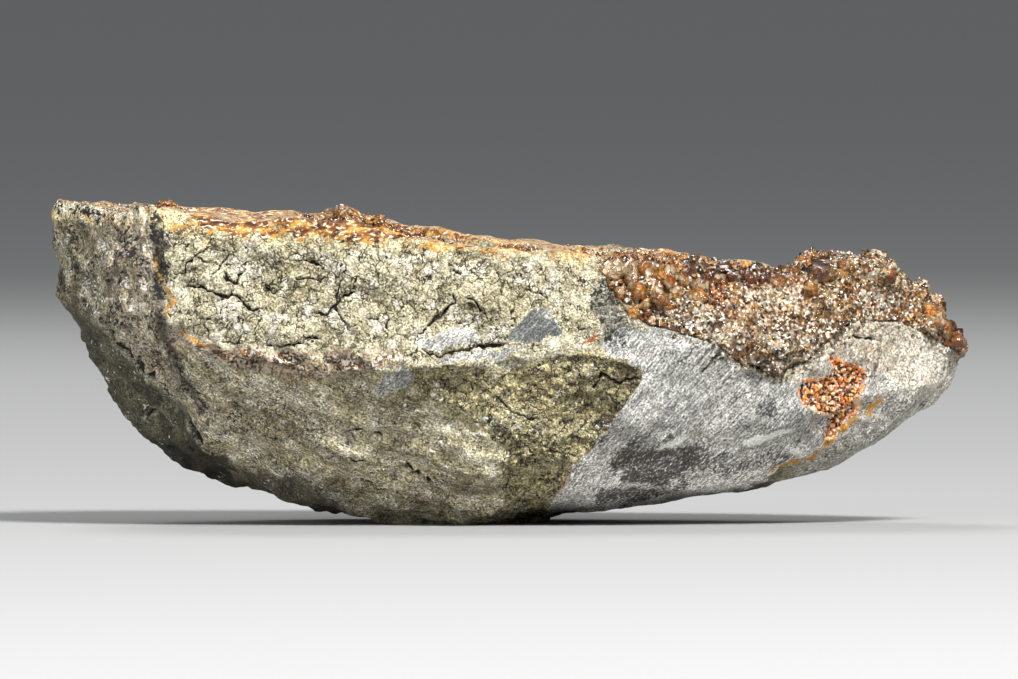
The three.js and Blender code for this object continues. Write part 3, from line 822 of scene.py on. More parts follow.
@dataclass(frozen=True)
class MudstoneFinish:
    """Dried mudstone, whose colours and marks are stored in the mesh."""

    roughness: float = 0.9
    # crack: the near-black laid into the open cracks, which is painted shade in the gaps.
    crack: int = 0x17130A
    ochre: int = 0xC48C30
    rust: int = 0xA6451C
    chalk: int = 0xEFEFE6
    black: int = 0x1E1C19
    white: int = 0xEFE9DC
    brown: int = 0x6E4525
    golden: int = 0xC9872A

    def material(self) -> bpy.types.Material:
        """Wires the finish.

        Returns:
            The material.
        """
        w = Wiring("mudstone_finish")
        fine, mid = w.clouds(0.36, 5), w.clouds(1.7, 5)
        ragged = w.minus(w.clouds(0.6, 5), 0.5)
        edge = w.times(ragged, 1.1)
        slab = w.rise(w.plus(w.value("slab"), edge), 0.45, 0.55)
        tone = w.blend(slab, w.colour("tone"), w.colour("slate"))
        tone = w.shaded(tone, w.rise(fine, 0.37, 0.63, 0.42, 1.5))
        tone = w.shaded(tone, w.rise(mid, 0.34, 0.66, 0.78, 1.2))
        tone = self.streaked(w, tone)
        tone = self.pitted(w, tone)
        tone, net = self.crackled(w, tone)
        warped = w.warped(0.7, 0.55)
        grit = w.value("grit")
        for size, channel, low, code in (
            (0.5, 0, 0.62, self.black), (0.6, 1, 0.7, self.brown),
            (0.42, 2, 0.62, self.white), (0.36, 0, 0.86, self.golden),
        ):
            share = w.rise(w.channel(w.grains(size, warped), channel), low, low + 0.05)
            tone = w.blend(w.times(share, grit), tone, paint(code))
        rusty = w.rise(w.plus(w.value("pocket"), w.times(ragged, 1.9)), 0.42, 0.56)
        tone = w.blend(rusty, tone, self.rusted(w))
        glassy = w.rise(w.plus(w.value("amber"), edge), 0.4, 0.56)
        tone = w.blend(glassy, tone, self.amber(w))
        for mark, code, torn in (
            ("ochre", self.ochre, 2.8), ("rust", self.rust, 1.8),
            ("chalk", self.chalk, 1.8), ("dark", self.black, 3.0),
        ):
            share = w.rise(w.plus(w.value(mark), w.times(ragged, torn)), 0.44, 0.6)
            if mark == "dark":
                share = w.times(share, w.rise(w.channel(w.grains(0.5, warped), 1), 0.55, 0.75, 1, 0.25))
            tone = w.blend(share, tone, w.shaded(paint(code), w.rise(fine, 0.3, 0.7, 0.66, 1.25)))
        gap = w.plus(w.value("gap"), w.times(w.minus(w.clouds(0.4, 4), 0.5), 0.22))
        # The drawn cracks are painted dark in their cores: painted shade.
        tone = w.blend(w.rise(gap, -0.03, 0.05, 1, 0), tone, paint(self.crack))
        relief = w.bump(net, 0.16, w.bump(fine, 0.2), w.value("crackle"))
        shine = w.minus(self.roughness, w.times(w.sum("MAXIMUM", grit, w.value("amber")), 0.16))
        return w.done(w.node("BsdfPrincipled", Base_Color=tone, Roughness=shine, Normal=relief))

    @staticmethod
    def streaked(w: Wiring, tone: Socket) -> Socket:
        """The fine streaks of the beds and the sheared faces, with short black dashes among them.

        Args:
            w: the wiring.
            tone: the colour so far.

        Returns:
            The streaked colour.
        """
        depth = w.node("SeparateXYZ", Vector=w.place).outputs["Y"]
        across, along = w.value("across"), w.value("along")

        def drawn(stretch: float) -> Socket:
            """The place along and across the streaks."""
            made = w.node("CombineXYZ", X=across, Y=w.times(along, stretch), Z=w.times(depth, 0.3))
            return made.outputs[0]

        dashes = w.rise(w.clouds(0.2, 3, drawn(0.1)), 0.4, 0.6, 0.66, 1.28)
        lines = w.rise(w.clouds(0.3, 3, drawn(0.012)), 0.42, 0.58, 0.74, 1.18)
        black = w.rise(w.clouds(0.3, 2, drawn(0.3)), 0.6, 0.66, 1, 0.3)
        tone = w.blend(w.value("comb"), tone, w.shaded(tone, w.times(w.times(dashes, lines), black)))
        specks = w.plus(w.clouds(0.34, 4, drawn(0.45)), w.times(w.value("stain"), 0.215))
        return w.blend(w.rise(specks, 0.6, 0.7, 0, 0.85), tone, paint(0x2B2825))

    @staticmethod
    def pitted(w: Wiring, tone: Socket) -> Socket:
        """Dark pits and pale crumbs, in patches; the dark of the pits is painted shade in small hollows.

        Args:
            w: the wiring.
            tone: the colour so far.

        Returns:
            The pitted colour.
        """
        patches = w.rise(w.clouds(2.6, 3), 0.4, 0.6, 0.25, 1)
        # Painted shade: the dark pits.
        pits = w.rise(w.clouds(0.42, 3, w.warped(0.8, 0.5)), 0.52, 0.58, 1, 0.24)
        crumbs = w.rise(w.channel(w.grains(0.62, w.warped(0.6, 0.4)), 1), 0.1, 0.9, 0.72, 1.34)
        return w.blend(w.times(w.value("pits"), patches), tone, w.shaded(tone, w.times(pits, crumbs)))

    def crackled(self, w: Wiring, tone: Socket) -> tuple[Socket, Socket]:
        """The nets of fine cracks of the dried mud, painted dark in and beside them as painted shade, and
        their relief.

        Args:
            w: the wiring.
            tone: the colour so far.

        Returns:
            The cracked colour, and the relief.
        """
        amount = w.value("crackle")
        relief = None
        for net in CRACKLES:
            wall = w.gaps(net.size, w.warped(net.size * 0.6, net.size * 1.15))
            here = w.rise(w.clouds(net.patches, 3), net.spread - 0.07, net.spread + 0.1, 0, net.width)
            gap = w.minus(wall, w.times(here, amount))
            # Painted shade: the mud darkened beside each fine crack.
            beside = w.times(w.rise(wall, 0.0, 0.22, 0.42, 0), w.times(here, 1 / net.width))
            tone = w.blend(w.times(beside, amount), tone, paint(0x756A48))
            # Each net's core is painted dark: painted shade in the fine cracks.
            tone = w.blend(w.rise(gap, -0.022, 0.0, 1, 0), tone, paint(self.crack))
            height = w.rise(gap, -0.02, 0.12)
            relief = height if relief is None else w.times(relief, height)
        return tone, relief

    def rusted(self, w: Wiring) -> Socket:
        """The orange grains of the rusty pocket, with dark, grey and white ones among them.

        Args:
            w: the wiring.

        Returns:
            The pocket's colour.
        """
        warped = w.warped(0.5, 0.9)
        first, second = w.grains(0.62, warped), w.grains(0.36, warped)
        tone = w.blend(w.channel(first, 0), paint(0xEB9440), paint(0xCC6A22))
        tone = w.blend(w.rise(w.clouds(2.4, 3), 0.48, 0.6), tone, paint(0xEFB777))
        for cell, channel, low, code in (
            (first, 1, 0.88, 0x4A2A18), (second, 0, 0.88, 0x241C1A),
            (second, 1, 0.8, 0xE8DFD6), (first, 2, 0.9, 0xA09CA0),
        ):
            tone = w.blend(w.rise(w.channel(cell, channel), low, low + 0.04), tone, paint(code))
        return tone

    @staticmethod
    def amber(w: Wiring) -> Socket:
        """The streaky, glassy stain of the rim.

        Args:
            w: the wiring.

        Returns:
            The stain's colour.
        """
        layers = w.clouds(1.3, 6, w.turned((0, 4, 0), (0.4, 1, 1)))
        streaks = w.clouds(0.5, 4, w.turned((0, 4, 0), (0.5, 1, 1)))
        tone = w.blend(w.rise(layers, 0.36, 0.42), paint(0x1C0D08), paint(0x56290B))
        tone = w.blend(w.rise(layers, 0.45, 0.51), tone, paint(0x8A5216))
        tone = w.blend(w.rise(layers, 0.53, 0.59), tone, paint(0xB8923E))
        tone = w.blend(w.rise(streaks, 0.55, 0.61), tone, paint(0xEFE6C6))
        return w.blend(w.rise(w.clouds(0.6, 3), 0.6, 0.66), tone, paint(0x4A240C))


@dataclass(frozen=True)
class GroundFinish:
    """The fine-grained colemanite that the crystals stand on."""

    dark: int = 0x4C3118
    light: int = 0xE9DFC8
    honey: int = 0xB8843E
    grain: float = 0.62

    def material(self) -> bpy.types.Material:
        """Wires the finish.

        Returns:
            The material.
        """
        w = Wiring("crust_finish")
        tone = w.colour("tone")
        warped = w.warped(0.8, 0.5)
        crumb = w.grains(self.grain, warped)
        kind = w.node("SeparateColor", Color=crumb.outputs["Color"])
        patches = w.rise(w.clouds(3.2, 3), 0.36, 0.64, -0.14, 0.14)
        dark, light = w.minus(kind.outputs[0], patches), w.plus(kind.outputs[1], patches)
        pale = w.times(w.value("pale"), 0.24)
        tone = w.blend(w.rise(dark, 0.66, 0.72, 0, 0.85), tone, paint(self.dark))
        tone = w.blend(w.rise(w.plus(light, pale), 0.9, 0.96, 0, 0.85), tone, paint(self.light))
        tone = w.blend(w.rise(kind.outputs[2], 0.84, 0.88, 0, 0.8), tone, paint(self.honey))
        # Painted highlights: tiny white glints laid into the colour; the same cells also give dark specks.
        glint = w.channel(w.grains(0.36), 0)
        tone = w.blend(w.rise(w.plus(glint, w.times(pale, 0.2)), 0.96, 0.98), tone, paint(0xFFFDF6))
        tone = w.blend(w.rise(glint, 0.12, 0.08), tone, paint(0x2A1A10))
        # Painted shade: each grain darkened towards its edges, between the grains.
        tone = w.shaded(tone, w.rise(w.gaps(self.grain, warped), 0.0, 0.14, 0.5, 1))
        relief = w.bump(w.clouds(0.3, 4), 0.12, w.tilted(crumb, 0.9))
        return w.done(w.node("BsdfPrincipled", Base_Color=tone, Roughness=0.26, IOR=1.59, Normal=relief))


@dataclass(frozen=True)
class CrystalFinish:
    """Clear colemanite; where it is toned, the mesh gives the tint and it is fractured inside."""

    name: str
    tint: int
    absorbed: tuple[float, float, float]
    density: float
    clear: float = 1.0
    roughness: float = 0.06
    toned: bool = False

    def material(self) -> bpy.types.Material:
        """Wires the finish.

        Returns:
            The material.
        """
        w = Wiring(self.name)
        polish = w.rise(w.clouds(1.6, 3), 0.35, 0.75, self.roughness, self.roughness + 0.16)
        tint, relief = (*paint(self.tint), 1.0), w.bump(w.clouds(0.7, 3), 0.05)
        if self.toned:
            warped = w.warped(1.4, 0.9)
            breaks = w.grains(1.1, warped)
            cloudy = w.rise(w.clouds(0.9, 4), 0.38, 0.62, 0.5, 1.35)
            mottled = w.times(cloudy, w.rise(w.channel(breaks, 0), 0, 1, 0.6, 1.3))
            tint = w.shaded(w.colour("tone"), mottled)
            tint = w.blend(w.rise(w.channel(breaks, 1), 0.78, 0.84, 0, 0.8), tint, paint(0xF0DDB6))
            tint = w.blend(w.rise(w.gaps(1.1, warped), 0.03, 0.1, 0.6, 0), tint, paint(0x54290C))
            relief = w.bump(w.clouds(0.4, 4), 0.12, w.tilted(breaks, 0.9))
        surface = w.node(
            "BsdfPrincipled", Base_Color=tint, Roughness=polish, IOR=1.59,
            Transmission_Weight=self.clear, Normal=relief,
        )
        volume = w.node("VolumeAbsorption", Color=(*self.absorbed, 1.0), Density=self.density)
        return w.done(surface, volume)


AMBER = CrystalFinish("amber_crystal", 0xFFF0D4, (0.92, 0.62, 0.06), 620)
HONEY = CrystalFinish("honey_crystal", 0xFFF3DC, (0.94, 0.79, 0.36), 620, 1.0, 0.04)
LARGE = CrystalFinish("large_crystal", 0xFFE2B4, (0.94, 0.6, 0.08), 360, 0.86, 0.08)
MASS = CrystalFinish("broken_crystal", 0xCE8636, (0.98, 0.8, 0.4), 90, 0.6, 0.1, True)
MILKY = CrystalFinish("milky_crystal", 0xE6DDC8, (0.95, 0.88, 0.72), 300, 0.5, 0.06)


# ---- the mudstone


@dataclass(frozen=True)
class Plates:
    """A cellular pattern of the skin: its cells, how far they are bent, and the seed."""

    size: float
    bend: float
    reach: float
    seed: int


MUD_PLATES = Plates(3.2, 1.7, 0.75, 47)
MUD_CRUMBS = Plates(1.05, 1.0, 0.4, 57)
RECESS_PLATES = Plates(2.7, 1.5, 0.9, 64)
RECESS_CRUMBS = Plates(1.0, 1.0, 0.4, 67)
POCKET_NUGGETS = Plates(0.95, 1, 0.2, 97)
PANEL_CRUMBS = Plates(1.3, 1.6, 0.4, 107)

# What the finish reads of the skin, beside its colours.
MARKS = (
    "grit", "comb", "pits", "ochre", "rust", "chalk", "amber", "slab", "pocket", "crackle", "dark", "stain"
)


class Skin:
    """The stone's skin while its marks are laid on it, one value for each corner of the mesh."""

    def __init__(self, points: Array, outward: Array) -> None:
        """Takes the corners of a mesh.

        Args:
            points: the corners, in specimen millimetres.
            outward: their outward directions.
        """
        self.points = points
        self.outward = outward
        self.front = ease(-points[:, 1], -6, 6)
        wander = np.stack(
            [noise(points, 5, 11 + i, 2) * 0.7 + noise(points, 1.2, 21 + i, 3) * 0.45 for i in (0, 1)], axis=1
        )
        self.plain = points[:, [0, 2]] + wander * 0.24
        turned = np.stack(
            [points[:, 0] + 9 * noise(points, 24, 31), points[:, 2] + 2.5 * noise(points, 17, 32)], axis=1
        )
        self.flat = np.where(points[:, 1:2] < 0, points[:, [0, 2]], turned + 1.5) + wander
        self.rise = np.zeros(len(points))
        self.gap = np.full(len(points), 3.0)
        self.tone = np.zeros((len(points), 3))
        self.marks = {name: np.zeros(len(points)) for name in MARKS}
        self.slate = np.tile(paint(0xA3A29C), (len(points), 1))
        self.across = points[:, 2] + np.interp(points[:, 0], *np.array(BEDS).T)
        self.along = points[:, 0].copy()

    def tint(self, cover: Array | float, code: int) -> None:
        """Lays a colour over the skin."""
        self.tone += np.asarray(cover)[..., None] * (paint(code) - self.tone)

    def tint_slate(self, cover: Array | float, code: int) -> None:
        """Lays a colour over the slate that shows in the sheared faces."""
        self.slate += np.asarray(cover)[..., None] * (paint(code) - self.slate)

    def blots(self, size: float, seed: int, low: float, high: float) -> Array:
        """Blotches of that size in millimetres, from 0 to 1, and fewer the higher low and high are."""
        return ease(noise(self.points, size, seed), low, high)

    def shown(self, form: Patch | Vein, clean: bool = False) -> Array:
        """How far inside a form each corner of the front is; its edge wanders unless it is clean."""
        return form.cover(self.plain if clean else self.flat) * self.front

    def draw(self, where: Array, across: Array, along: Array) -> None:
        """Sets which way the streaks run, by the way across and along them."""
        self.across = np.where(where, across, self.across)
        self.along = np.where(where, along, self.along)

    def mark(self, name: str, cover: Array) -> None:
        """Adds to a mark, up to 1."""
        self.marks[name] = np.maximum(self.marks[name], cover)

    def clear(self, name: str, cover: Array) -> None:
        """Takes a mark away under a cover."""
        self.marks[name] = self.marks[name] * (1 - cover)

    def lift(self, cover: Array | float, height: Array | float) -> None:
        """Raises the skin."""
        self.rise += cover * height

    def plates(self, plates: Plates, cover: Array) -> Cells:
        """The cells of a pattern where the cover is above 0, and an even skin elsewhere.

        Args:
            plates: the pattern.
            cover: how far it covers each corner.

        Returns:
            The cells at the corners.
        """
        where = cover > 0
        here = self.points[where]
        strays = [noise(here, plates.bend, plates.seed + i, 3) for i in range(3)]
        bent = here + plates.reach * np.stack(strays, axis=1)
        found = cells(bent, plates.size, plates.seed)
        whole = Cells(np.full(len(cover), 3.0), np.full(len(cover), 0.5), np.zeros((len(cover), 3)))
        whole.wall[where], whole.number[where], whole.offset[where] = found.wall, found.number, found.offset
        return whole

    def crack(self) -> None:
        """Finds the way to the nearest open crack: between nuggets, and those drawn on the front."""
        pocket = self.shown(POCKET, True)
        walls = self.plates(POCKET_NUGGETS, pocket).wall
        self.gap = np.minimum(self.gap, walls - 0.05 + 3 * (1 - pocket))
        facing = self.front > 0.5
        here = self.points[facing]
        bent = self.plain[facing] + 0.34 * np.stack([noise(here, 1.3, 48 + i, 3) for i in (0, 5)], 1)
        drawn = np.min([crack.gap(bent) for crack in CRACKS], axis=0) + 0.1 * noise(here, 0.9, 52, 2)
        self.gap[facing] = np.minimum(self.gap[facing], drawn)


class StoneSkin(Skin):
    """The mudstone's skin, with what is laid on each part of it."""

    def lay_all(self) -> None:
        """Lays each part of the stone, those on top last."""
        self.crack()
        self.lay_ground()
        self.lay_mud()
        self.lay_belly()
        self.lay_recess()
        self.lay_slab()
        self.lay_tail()
        self.lay_left()
        self.lay_rim()

    def lay_ground(self) -> None:
        """The plain olive and grey stone that shows all round."""
        p = self.points
        self.tint(1.0, 0xA09A7E)
        self.tint(self.blots(13, 1, -0.1, 0.7), 0xADA894)
        self.tint(0.7 * self.blots(9, 2, 0.15, 0.75), 0x7A7259)
        self.tint(0.7 * self.blots(2.8, 3, 0.25, 0.7), 0xCBC5AF)
        self.tint(0.6 * self.blots(1.9, 8, 0.25, 0.7), 0x625B44)
        self.lift(1.0, 0.5 * noise(p, 7, 4) + 0.12 * noise(p, 1.7, 5))
        self.mark("pits", 0.5 + 0.5 * self.blots(5, 7, -0.2, 0.6))
        self.mark("comb", 0.25 + 0.35 * self.blots(8, 9, -0.3, 0.5))
        self.mark("crackle", 0.75 * self.blots(6, 10, 0, 0.6))
        # Painted shade: darker where the stone faces down.
        self.tint(0.45 * ease(-self.outward[:, 2], 0.2, 0.9), 0x6E6954)
        for swell in SWELLS:
            self.lift(self.front, swell.relief(self.plain))

    def lay_mud(self) -> None:
        """The cream band of dried mud, with its plates and crumbs."""
        p = self.points
        band = MUD.cover(self.flat)
        self.tint(band, 0xD2C9AA)
        self.tint(band * 0.6 * self.blots(6, 41, 0.1, 0.8), 0xB3AA82)
        self.tint(band * 0.4 * self.blots(1.6, 58, 0.2, 0.6), 0x8F855E)
        # Painted shade: the band darker where its relief sinks.
        self.tint(band * 0.6 * ease(-self.rise, 0, 0.9), 0x8F8660)
        self.tint(band * 0.7 * self.blots(2.2, 42, 0.1, 0.7), 0xEEE8D9)
        plates, crumbs = self.plates(MUD_PLATES, band), self.plates(MUD_CRUMBS, band)
        bold = band * (0.35 + 0.65 * ease(noise(p, 9, 43, 2) + 0.5 * ease(66 - p[:, 0], -10, 12), -0.1, 0.5))
        self.lift(bold, 0.34 * ease(plates.wall, -0.1, 0.5) + 0.5 * (plates.number - 0.5) - 0.2)
        self.lift(band, 0.1 * ease(crumbs.wall, 0, 0.3) + 0.2 * (crumbs.number - 0.5) - 0.05)
        self.lift(band, 0.4 * noise(p, 6, 56, 2) + 0.1 * noise(p, 1.4, 59, 2))
        self.clear("pits", band)
        self.mark("pits", band * (0.25 + 0.55 * self.blots(4, 57, -0.3, 0.4)))
        self.clear("comb", band * 0.9)
        self.mark("crackle", band)

    def lay_belly(self) -> None:
        """The olive beds under the band, and the mixed brown grains between the two."""
        p = self.points
        x, y, z = p.T
        below = (1 - MUD.cover(self.flat)) * ease(102 - x, 0, 3) * ease(35 - z, 0, 2) * self.front
        beds_here = below * (1 - RECESS.cover(self.flat))
        self.tint(below, 0xBEB492)
        self.tint(below * 0.6 * self.blots(7, 61, 0, 0.7), 0x8E8665)
        beds = noise(np.stack([self.across, self.along * 0.14, y * 0.3], 1), 2.2, 78)
        self.tint(below * 0.6 * ease(beds, 0.15, 0.5), 0x6A6247)
        self.tint(below * 0.5 * ease(-beds, 0.2, 0.6), 0xD0CAB6)
        self.tint(below * 0.5 * self.blots(1.7, 62, 0.2, 0.5), 0xD6D0BE)
        ledge = (self.across + 0.8 * noise(p, 6, 63, 2)) / 3.4 % 1
        steps = 0.8 * ease(ledge, 0, 0.75) * (1 - ease(ledge, 0.9, 1))
        self.lift(beds_here * 0.8 * ease(noise(p, 8, 60, 2), -0.4, 0.3), steps)
        self.lift(beds_here, 0.5 * noise(p, 5.5, 64) + 0.18 * noise(p, 1.5, 65, 2) + 0.35 * beds)
        self.mark("pits", below * (0.85 + 0.15 * self.blots(4, 68, -0.4, 0.4)))
        self.mark("comb", below * 0.65)
        self.mark("chalk", below * 0.3 * self.blots(2.6, 124, 0.05, 0.4))
        self.clear("crackle", below)
        self.mark("crackle", below * 0.8 * self.blots(6, 77, -0.1, 0.5))
        band = self.shown(BROWN_BAND)
        self.tint(band * 0.7, 0xBBA888)
        self.tint(band * self.blots(2.4, 69, 0.1, 0.4), 0x65503A)
        self.mark("grit", band * (0.35 + 0.6 * self.blots(3, 66, -0.2, 0.4)))
        self.tint(self.shown(RUST_KNOT) * 0.8, 0x4A2A14)
        self.mark("dark", band * 0.5 * self.blots(2, 73, 0.1, 0.5))
        self.lift(band, 0.45 * noise(p, 1.5, 67, 2))
        for vein in PALE:
            cover = self.shown(vein, True) * self.blots(1.8, 70, -0.6, 0)
            self.tint(cover * 0.3, 0xD2CFC0)
            self.mark("chalk", cover * 0.5)
            self.lift(cover, 0.12)
        # Dark facet at the bottom: partly the stone's own tone, partly painted shade of the underside.
        self.tint(self.shown(BROWN_FACET) * 0.85, 0x352D22)
        # Painted highlight along the ridge.
        self.tint(self.shown(RIDGE_HIGHLIGHT) * 0.7, 0xC4C0AE)

    def lay_recess(self) -> None:
        """The cracked olive recess beside the slab."""
        p = self.points
        hollow = ease(RECESS.cover(self.flat), 0.05, 0.6) * self.front
        self.tint(hollow, 0xC8BC8F)
        self.tint(self.shown(RECESS_GREEN) * 0.8, 0xB2A67C)
        self.mark("chalk", hollow * 0.36 * self.blots(2.2, 74, 0.1, 0.6))
        self.tint(hollow * 0.4 * self.blots(1.4, 72, 0.25, 0.6), 0x857A57)
        # Painted shade at the apex of the recess.
        self.tint((1 - ease(np.hypot(p[:, 0] - 104.5, p[:, 2] - 27.4), 0.8, 4)) * hollow * 0.85, 0x54432A)
        plates, crumbs = self.plates(RECESS_PLATES, hollow), self.plates(RECESS_CRUMBS, hollow)
        self.lift(hollow, 0.3 * ease(plates.wall, -0.1, 0.4) + 0.5 * (plates.number - 0.5) - 0.55)
        self.lift(hollow, 0.1 * ease(crumbs.wall, 0, 0.3) + 0.22 * (crumbs.number - 0.5))
        self.lift(hollow, 0.4 * noise(p, 4.2, 77) + 0.1 * noise(p, 1.3, 79, 2))
        self.clear("pits", hollow)
        self.clear("comb", hollow)
        self.mark("pits", hollow)
        self.mark("crackle", hollow)

    def lay_slab(self) -> None:
        """The sheared grey slab, with its combed face, stains and chalk."""
        p = self.points
        self.tint_slate(0.5 * self.blots(5, 81, 0, 0.8), 0xC2C0B9)
        # Painted light: the slate lightened towards the bottom to offset the shade there.
        self.tint_slate(0.95 * (1 - ease(p[:, 2], 7, 20)), 0xF6F3EA)
        lines = self.combed(p, 0.16)
        self.tint_slate(0.4 * ease(noise(lines, 2.2, 84), 0.1, 0.6), 0x8E8D88)
        for stain, strength in zip(STAINS, (1, 0.95, 0.9, 0.7)):
            cover = ease(stain.cover(self.flat) + 0.5 * noise(lines, 1.6, 82), 0.1, 0.9)
            self.mark("stain", cover * strength * self.front)
        self.tint_slate(STAINS[0].cover(self.flat) * 0.6 * self.blots(3, 83, 0, 0.4), 0x806A5A)
        slates = np.max([slate.cover(self.flat) for slate in SLATES], axis=0) * self.front
        self.tint_slate(self.shown(SLATES[0]) * 0.8, 0x595D5C)
        self.tint_slate(self.shown(SLATE_KNOT), 0x3A312C)
        smooth = np.maximum(self.shown(SLAB), slates)
        self.mark("slab", smooth)
        for mark in ("pits", "crackle"):
            self.clear(mark, ease(smooth, 0.2, 0.6) * 0.85)
        self.gap = np.maximum(self.gap, np.where(slates > 0.5, 0.3, -1))
        self.mark("comb", ease(smooth, 0.2, 0.6))
        comb = self.combed(p, 0.06)
        self.draw(smooth > 0.2, comb[:, 1], comb[:, 0] / 0.06)
        self.lift(smooth, 0.16 * noise(comb, 1.3, 85, 2) + 0.3 * noise(comb, 4.5, 86, 1) - self.rise * 0.7)
        for patch in CHALK:
            self.mark("chalk", self.shown(patch, True))
        self.clear("comb", np.max([patch.cover(self.plain) for patch in CHALK], axis=0) * 0.7)

    @staticmethod
    def combed(points: Array, stretch: float) -> Array:
        """The points, drawn out along lines that climb to the right.

        Args:
            points: positions.
            stretch: their spacing along the lines, as a share.

        Returns:
            The drawn-out points.
        """
        angle = math.radians(47)
        along = points[:, 0] * math.cos(angle) + points[:, 2] * math.sin(angle)
        across = points[:, 2] * math.cos(angle) - points[:, 0] * math.sin(angle)
        return np.stack([along * stretch, across, points[:, 1] * stretch], axis=1)

    def lay_tail(self) -> None:
        """The pale stone of the right end, and the rusty pocket in it."""
        p = self.points
        x = p[:, 0]
        tail = ease(x, 131, 136) * (1 - SLAB.cover(self.flat))
        self.tint(tail, 0xB9B5AB)
        # Paler towards the tip: partly the pale stone, partly painted light where the tip turns from the
        # lamps.
        self.tint(tail * ease(x, 150, 160) * 0.75, 0xF6F0E2)
        self.tint(tail * 0.5 * self.blots(3, 91, 0, 0.7), 0x9A958A)
        grain = TAIL_GRAIN.cover(self.flat)
        self.tint(grain * (0.8 - 0.5 * ease(x, 150, 158)), 0xB2A893)
        self.tint(grain * 0.6 * self.blots(2, 94, 0.15, 0.5), 0xCBC1AC)
        inward = 1 - 0.6 * ease(x, 148, 158)
        self.mark("grit", grain * (0.2 + 0.4 * self.blots(3, 96, -0.1, 0.5)) * inward)
        self.clear("comb", tail * 0.5)
        self.mark("comb", tail * (1 - grain) * 0.6)
        comb = self.combed(p, 1)
        self.draw(tail > 0.2, comb[:, 1], comb[:, 0])
        self.clear("crackle", tail)
        self.mark("pits", tail * 0.7)
        self.lift(grain, 0.26 * noise(p, 1.3, 92, 2))
        pocket = self.shown(POCKET, True)
        self.mark("pocket", pocket)
        nuggets = self.plates(POCKET_NUGGETS, pocket)
        self.lift(pocket, 0.6 * (nuggets.number - 0.5) - 0.35)

    def lay_left(self) -> None:
        """The crumbly panel and the darker facets of the left end, and the black seam beside them."""
        p = self.points
        x, y, z = p.T
        left = ease(24 - x, 0, 4)
        self.tint(left * (1 - self.front) * 0.6, 0x7A745F)
        panel = LEFT_PANEL.cover(self.flat)
        seam_line = np.array(SEAM.path)[::-1]
        beside = x - np.interp(z, seam_line[:, 1], seam_line[:, 0]) + 1.2 * noise(p, 8, 103, 2)
        self.draw(panel > 0.2, beside, z)
        self.tint(panel, 0x968D72)
        self.tint(panel * 0.7 * self.blots(2.8, 101, 0.1, 0.5), 0xC9C1A9)
        self.mark("chalk", panel * 0.4 * self.blots(2.4, 119, 0, 0.4))
        self.tint(panel * 0.8 * self.blots(2.0, 102, 0.15, 0.5), 0x4F4633)
        beds = noise(np.stack([beside, z * 0.14, y * 0.3], 1), 1.3, 115, 3)
        near = ease(beside + 2 * noise(p, 5, 116), -11, -5)
        self.mark("dark", panel * near * self.front * 0.62 * ease(beds, 0.1, 0.35))
        self.mark("dark", panel * 0.52 * self.blots(3, 120, 0.0, 0.3))
        self.tint(panel * near * 0.7 * ease(-beds, 0.2, 0.5), 0xD9CFB6)
        self.mark("grit", panel * near * 0.3)
        crumbs = self.plates(PANEL_CRUMBS, panel)
        relief = 0.36 * (crumbs.number - 0.5) + 0.2 * ease(crumbs.wall, 0, 0.4)
        self.lift(panel, relief + 0.5 * noise(p, 4, 104) - 0.3)
        self.lift(panel * near, 0.5 * beds)
        self.mark("pits", panel)
        self.mark("comb", panel * (0.3 + 0.6 * near))
        self.clear("crackle", panel * 0.6)
        facet = LEFT_FACET.cover(self.flat) * (1 - panel)
        # Dark facets of the left end: partly the stone's own tone, partly painted shade where they face down
        # and away.
        self.tint(facet, 0x464334)
        self.tint(facet * 0.7 * self.blots(3, 105, 0, 0.6), 0x716D57)
        self.draw(facet > 0.2, 0.6 * z + 0.8 * x, 0.8 * z - 0.6 * x)
        self.mark("pits", facet * 0.6)
        self.mark("comb", facet * 0.6)
        # Near-black foot facet: partly the stone's own tone, partly painted shade of the underside.
        self.tint(self.shown(FOOT_FACET), 0x262722)
        self.mark("dark", self.shown(LEFT_CORNER) * 0.85)
        wall = self.front * (1 - ease(self.outward[:, 2], 0.3, 0.6))
        seam = SEAM.cover(self.flat) * wall
        self.tint(seam * 0.8, 0x4A4234)
        fading = seam * (0.95 - 0.3 * ease(40 - z, -4, 6))
        self.mark("dark", fading + 0.3 * noise(p, 1.1, 109, 3) * seam)
        veins = self.shown(BLACK_VEIN)
        self.tint(veins * 0.6, 0x6C6A64)
        self.mark("dark", veins * (0.3 + 0.65 * ease(noise(self.combed(p, 0.3), 1.1, 106, 2), -0.15, 0.25)))
        self.mark("comb", veins)
        for vein in OCHRE:
            self.mark("ochre", self.shown(vein, True) * (0.3 + 0.42 * self.blots(1.4, 110, -0.3, 0.3)))
        for vein in RUST:
            self.mark("rust", self.shown(vein, True) * (0.3 + 0.45 * self.blots(1.3, 117, -0.3, 0.2)))

